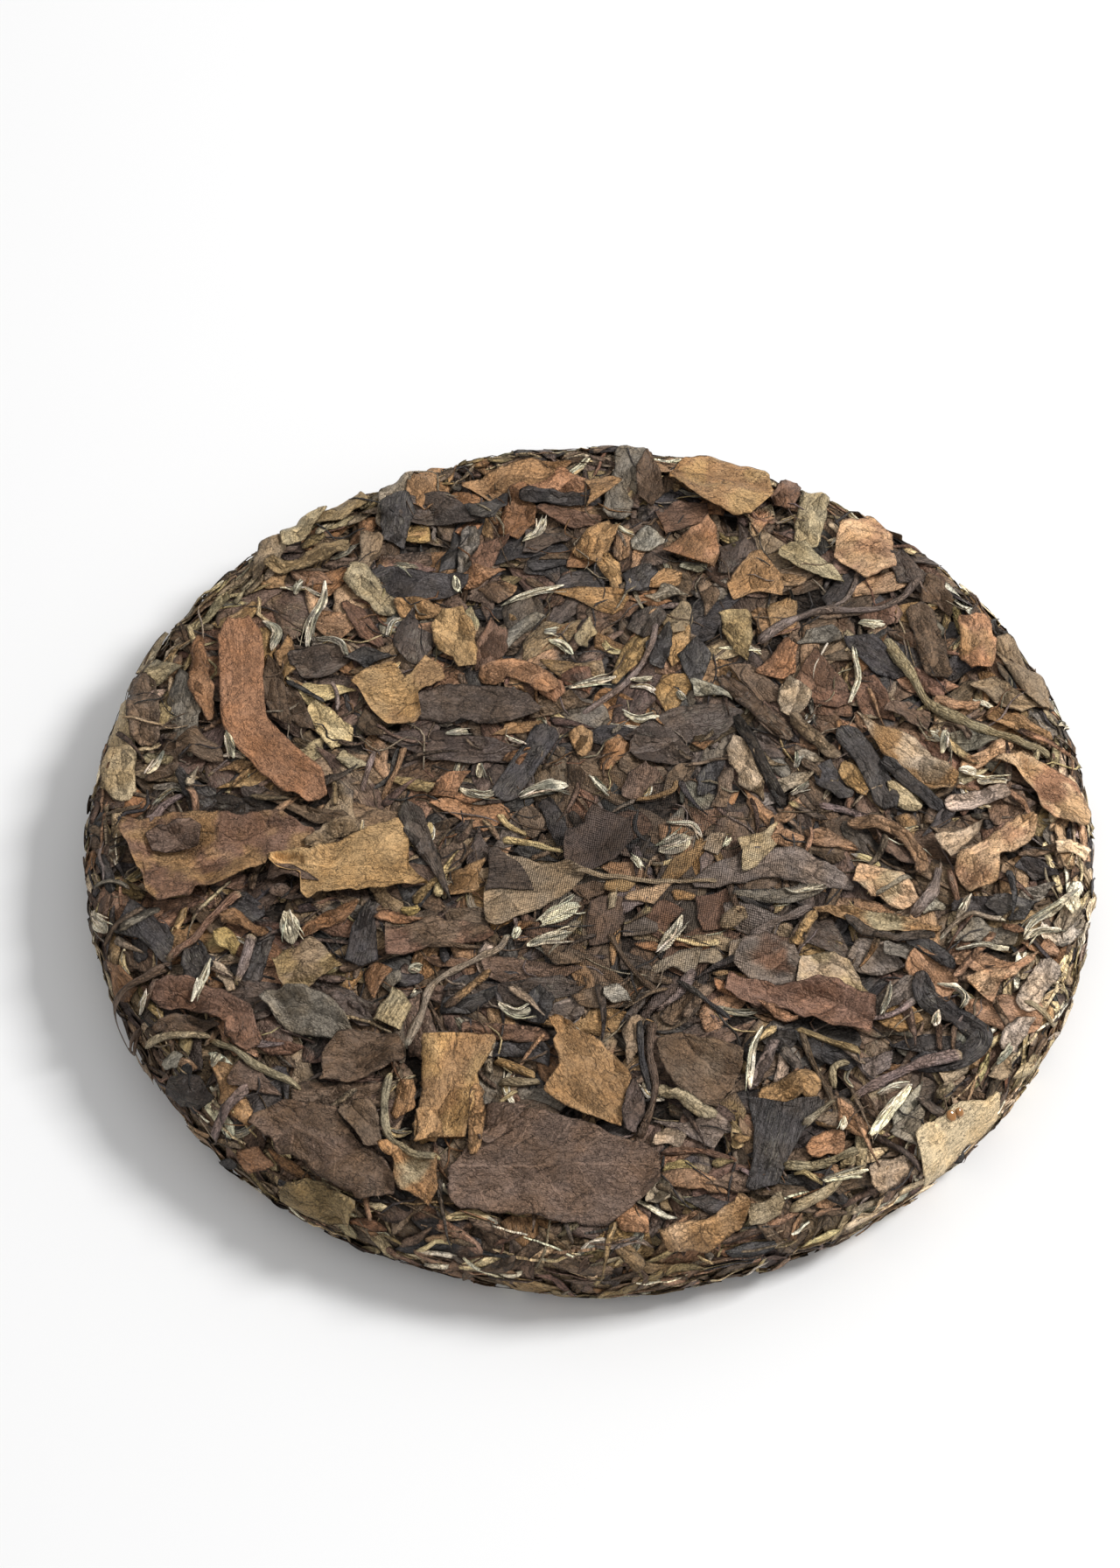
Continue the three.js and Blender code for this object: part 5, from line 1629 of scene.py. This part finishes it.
# Where a mark lies or starts, and how sharp it is; for ribs, branches and edges, how full and how wide
markForm = {
    "rib": (1.3, 0.3), "branch": (1.2, 0.26), "branchShare": 0.8, "branchSlant": 0.7, "branchWaver": 0.5,
    "netSharp": 9, "fold": (0.5, 45), "finer": (0.45, 28), "finerShare": 0.7, "hairs": (0.5, 9),
    "down": (0.5, 7), "crackSharp": 3, "crack": (0.45, 6), "edgeShadeFull": 1.25, "glintAt": (0.6, 4),
    "glint": (0.47, 6), "warm": (0.4, 4),
}
# how marks change the colour: the glint is a painted highlight, the edge a painted shade
markTone = {"vein": 1.6, "glint": 1.5, "edge": 0.3, "cloth": 1.5}
markRise = {"fine": 0.7, "fibre": 1.2, "speck": 0.3, "vein": 0.5, "crease": 0.7, "cloth": 0.8}
leafDarkest, roughMore = 0.15, 0.5
warmer = (1.08, 0.99, 0.86)
downTint = (*linear((158, 150, 132)), 1)


def veinLines(finish, look, grain, cloud, veins, spacing):  # off the midrib, with a net between them
    along, across, seed = finish.split(grain)
    aside = abs(across - seed / 3)
    rib = aside.within(*markForm["rib"])
    branch = (along - aside * markForm["branchSlant"]) / spacing
    branch = branch + (cloud - 0.5) * markForm["branchWaver"]
    away = (0.5 - abs(branch.fraction() - 0.5)) * spacing
    lines = rib + away.within(*markForm["branch"]) * markForm["branchShare"]
    net = (1 - finish.cells(grain, leafScale["net"]) * markForm["netSharp"]).held() * look["net"]
    return (lines + net).held() * veins * look["vein"]


def creaseLines(finish, look, grain):  # where a slow lump passes its middle
    fold = finish.noise(finish.stretch(grain, leafScale["foldRun"]), leafScale["fold"], 3, 0.62)
    finer = finish.noise(finish.stretch(grain, leafScale["finerRun"]), leafScale["finer"], 2)
    finer = finer.near(*markForm["finer"]) * markForm["finerShare"]
    return (fold.near(*markForm["fold"]) + finer) * look["crease"]


def flakePatches(finish, grain, spacing):  # each leans its own way, has its own shade and ends in a step
    bent = finish.vectors("MULTIPLY_ADD", finish.noise(grain, leafScale["bend"], 2), (2, 2, 2), grain)[0]
    spots = finish.scaled(finish.stretch(bent, leafScale["flakeRun"]), 1 / spacing)
    kind, settings = "ShaderNodeTexVoronoi", {"voronoi_dimensions": "2D"}
    _, own, middle, *_ = finish.node(kind, settings, {"Vector": spots, "Scale": leafScale["flake"]})
    lean = finish.vectors("SUBTRACT", own, (0.5, 0.5, 0.5))[0]
    apart = finish.vectors("SUBTRACT", spots, middle)[0]
    tilt = finish.vectors("DOT_PRODUCT", lean, apart)[1]
    return tilt, finish.split(own)[2] - 0.5, finish.cells(spots, leafScale["flake"])


def silverDown(finish, look, grain):
    hairs = finish.noise(finish.stretch(grain, leafScale["hairRun"]), 1.0, 2).past(*markForm["hairs"])
    where = finish.noise(finish.stretch(grain, leafScale["downRun"]), leafScale["down"], 2)
    return hairs * where.past(*markForm["down"]) * look["down"]


def clothMarks(finish, look):
    x, y, _ = finish.split(finish.scaled(finish.node("ShaderNodeTexCoord", {}, {})[3], 1 / mm))
    cos, sin, pitch = clothPrint["cos"], clothPrint["sin"], fullTurn / clothPrint["pitch"]
    warp, weft = (x * cos + y * sin) * pitch, (y * cos - x * sin) * pitch
    right, back = x - clothPrint["middle"][0], y - clothPrint["middle"][1]
    near = (1 - (right * right + back * back) / clothPrint["farSquared"]).held()
    return warp.sine() * weft.sine() * near * look["weave"]


def leafFinish(name, **given):
    look = {**leafLook, **given}
    finish = Finish(name)
    tint = finish.attribute("tint")[0]
    grain = finish.attribute("grain")[1]
    inside, veins, spacing = finish.split(finish.attribute("blade")[1])
    cloud = finish.noise(grain, leafScale["cloud"], 3)
    fine = finish.noise(grain, leafScale["fine"], 4, 0.68)
    speck = finish.noise(grain, leafScale["speck"], 2)
    warmth = finish.noise(finish.stretch(grain, leafScale["warmRun"]), leafScale["warmth"], 2)
    fibre = finish.noise(finish.stretch(grain, leafScale["fibreRun"]), 1.0, 3) - 0.5
    fibre = fibre * ((1 - veins * 2).held() * look["fibre"])
    vein = veinLines(finish, look, grain, cloud, veins, spacing)
    crease = creaseLines(finish, look, grain)
    flake, shade, facet = flakePatches(finish, grain, spacing)
    crack = (1 - facet * spacing * markForm["crackSharp"]).held()
    crack = crack * warmth.past(*markForm["crack"]) * look["crack"]
    # painted shade: a dark line just inside each leaf's edge, standing in for the shadow in the gaps between
    # leaves
    edge = inside.within(markForm["edgeShadeFull"], look["edgeShadeWide"]) * look["edge"]
    # painted highlight: a pale line just inside the leaf's edge, as if a curled edge caught the light
    glint = inside.near(*markForm["glintAt"]) * fine.past(*markForm["glint"]) * look["glint"]
    cloth = clothMarks(finish, look)

    tone = 1 - look["cloud"] / 2 + cloud * look["cloud"] + (fine - 0.5) * look["mottle"]
    tone = tone + (speck - 0.5) * look["speck"] + fibre + shade * look["shade"]
    colour = finish.scaled(tint, (tone * look["bright"]).atLeast(leafDarkest))
    colour = finish.mix(colour, finish.stretch(colour, warmer), warmth.past(*markForm["warm"]))
    colour = finish.mix(colour, finish.scaled(colour, markTone["vein"]), vein)
    colour = finish.mix(colour, downTint, silverDown(finish, look, grain))
    # painted highlight along the leaf's edge
    colour = finish.mix(colour, finish.scaled(colour, markTone["glint"]), glint)
    # painted shade: the edge line, creases and cracks darken the colour
    colour = finish.mix(colour, finish.scaled(colour, markTone["edge"]), (edge + crease + crack).held())
    colour = finish.mix(colour, finish.scaled(colour, markTone["cloth"]), cloth.held())
    relief = facet * look["facet"] + flake * look["flake"] + fine * markRise["fine"]
    relief = relief + fibre * markRise["fibre"] + speck * markRise["speck"] + vein * markRise["vein"]
    relief = relief - crease * markRise["crease"] - crack + cloth * markRise["cloth"]
    sockets = {"Strength": 1.0, "Distance": look["relief"] * mm, "Height": relief}
    bump = finish.node("ShaderNodeBump", {}, sockets)[0]
    finish.give({"Base Color": colour, "Roughness": look["rough"] + (fine - 0.5) * roughMore,
                 "Specular IOR Level": look["shine"], "Normal": bump})
    return finish.material


# The matted bed under the leaves: the disc's own skin, closed underneath; sooty dark on the face as painted
# shade for the gaps between leaves
bedGrid = {"around": 240, "step": 1.6, "underStep": 4.0, "tip": 0.4, "sunk": 0.35, "underSunk": 0.75}
bedLook = {"patch": 3, "key": 9, "brownFrom": shoulder - 4, "brownOver": 8, "brownBelow": 5}


def makeBed(finish):
    spin = np.linspace(0, fullTurn, bedGrid["around"], endpoint=False)[None, :]
    down = np.arange(bedGrid["tip"], footReach - 0.2, bedGrid["step"])[:, None]
    x, y = down * np.cos(spin), down * np.sin(spin)
    h = facePile.squeezed(x, y, facePile.bedAt(x, y) - bedGrid["sunk"]) + swell(x, y)
    skin = onCake(x, y, h)
    inwards = np.arange(shoulder - 1, bedGrid["tip"], -bedGrid["underStep"])[:, None]
    x, y = inwards * np.cos(spin), inwards * np.sin(spin)
    belly = underCake(x, -y, underPile.squeezed(x, -y, underPile.bedAt(x, -y) - bedGrid["underSunk"]))
    co = np.concatenate([skin, belly]).transpose(1, 0, 2)
    rows = co.shape[1]
    index = np.arange(co.shape[0] * rows).reshape(-1, rows)
    after = np.roll(index, -1, 0)
    faces = np.stack([index[:, :-1], index[:, 1:], after[:, 1:], after[:, :-1]], -1).reshape(-1, 4)
    tips = [index[:, 0].tolist(), index[::-1, -1].tolist()]
    co = co.reshape(-1, 3)
    mesh = bpy.data.meshes.new("matted_bed")
    mesh.from_pydata((co * mm).tolist(), [], faces.tolist() + tips)
    patch = crumple(co[:, 0] / bedLook["patch"], co[:, 1] / bedLook["patch"], bedLook["key"])[:, None]
    out = np.hypot(co[:, 0], co[:, 1]) - bedLook["brownFrom"]
    browner = np.clip(out / bedLook["brownOver"], 0, 1)[:, None]  # at the rim and below
    browner = np.maximum(browner, co[:, 2:] < bedLook["brownBelow"])
    # painted shade: soot on the face stands in for the deep shade in the gaps between leaves; fawn at the rim
    # and below
    tint = (tintOf("soot") * (1 - browner) + tintOf("fawn") * browner) * (0.6 + 0.8 * patch)
    addLayers(mesh, tint, co, np.tile(plainBlade, (len(co), 1)))
    mesh.polygons.foreach_set("use_smooth", np.ones(len(mesh.polygons), bool))
    mesh.materials.append(finish)
    bed = putIn("matted_bed", mesh)
    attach(bed, "root")
    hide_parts("tea_cake")
    print("bed made")


makeBed(leafFinish("matted_bed_finish", rough=0.8, vein=0, edge=0, down=0))
leafCoat = leafFinish("leaf_finish", down=0.06)
tornCoat = leafFinish("torn_leaf_finish", rough=0.66)
darkCoat = leafFinish("dark_leaf_finish", rough=0.5, shine=0.34, fibre=2.2, vein=0.2, down=0.4)
stemCoat = leafFinish("stem_finish", fibre=2.2, vein=0, edge=0, crease=0.2, flake=1, glint=0)
budCoat = leafFinish("bud_finish", rough=0.7, fibre=2.4, mottle=0.8, vein=0, edge=0, crease=0.3, down=0,
                     flake=2, glint=0)
coats = [
    (broadLeaves, leafCoat), (plateLeaves, leafCoat), (bedLeaves, tornCoat), (tornLeaves, tornCoat),
    (darkLeaves, darkCoat), (stems, stemCoat), (silverBuds, budCoat), (rimShreds, tornCoat),
    (rimFlakes, tornCoat), (underLeaves, tornCoat),
]
for bunch, coat in coats:
    bunch.build(coat)


# Floor, soft light from the right and a bright surround
stageLook = {
    "floor": (0.91, 0.91, 0.91), "floorHalf": 3.0, "floorRough": 0.9, "surround": 0.55,
    "keyPower": 28.0, "keyWide": 0.5, "keyFar": 1.8, "keyRise": 44, "keyTurn": 14,
}


def makeStage():
    mesh = bpy.data.meshes.new("floor")
    half = stageLook["floorHalf"]
    corners = [(-half, -half, 0), (half, -half, 0), (half, half, 0), (-half, half, 0)]
    mesh.from_pydata(corners, [], [(0, 1, 2, 3)])
    floor = putIn("floor", mesh)
    paint = Finish("floor_paint")
    paint.give({"Base Color": (*stageLook["floor"], 1), "Roughness": stageLook["floorRough"]})
    mesh.materials.append(paint.material)
    lamp = bpy.data.lights.new("window", "AREA")
    lamp.energy, lamp.size = stageLook["keyPower"], stageLook["keyWide"]
    window = putIn("window", lamp)
    rise, turn = math.radians(stageLook["keyRise"]), math.radians(stageLook["keyTurn"])
    towards = Vector((math.cos(rise) * math.cos(turn), math.cos(rise) * math.sin(turn), math.sin(rise)))
    window.location = towards * stageLook["keyFar"]
    window.rotation_euler = (-towards).to_track_quat("-Z", "Y").to_euler()
    world = bpy.data.worlds.new("surround")
    world.use_nodes = True
    world.node_tree.nodes["Background"].inputs["Color"].default_value = (1, 1, 1, 1)
    world.node_tree.nodes["Background"].inputs["Strength"].default_value = stageLook["surround"]
    bpy.context.scene.world = world
    bpy.context.scene.view_settings.view_transform = "Standard"


makeStage()
print("stage set")


# The amber beads on the pale leaf of the rim: places as seen from above, radii
beadLook = {
    "spots": [((66.6, -68.2), 0.9), ((68.2, -67.2), 0.75)], "sides": 12, "rise": 0.5, "hole": 0.02,
    "bake": (3, 5), "rough": 0.12, "coat": 0.6,
}


def makeBeads():
    sides, hole = beadLook["sides"], beadLook["hole"]
    down = np.linspace(hole, math.pi - hole, sides)[:, None]
    angle = np.linspace(0, fullTurn, sides, endpoint=False)[None, :]
    for place, radius in beadLook["spots"]:
        x, y = toFlat(place)
        ring = (x + radius * np.sin(down) * np.cos(angle), y + radius * np.sin(down) * np.sin(angle),
                facePile.at(x, y) + beadLook["rise"] * radius + radius * np.cos(down) * np.ones_like(angle))
        tint = tintOf("amber") * np.ones(ring[0].shape + (1,))
        flat = np.zeros(ring[0].shape)
        beads.tube(ring, tint, flat + radius * down, flat + radius * angle, beadLook["bake"])
    amber = Finish("amber")
    amber.give({"Base Color": amber.attribute("tint")[0], "Roughness": beadLook["rough"],
                "Coat Weight": beadLook["coat"]})
    beads.build(amber.material)


makeBeads()
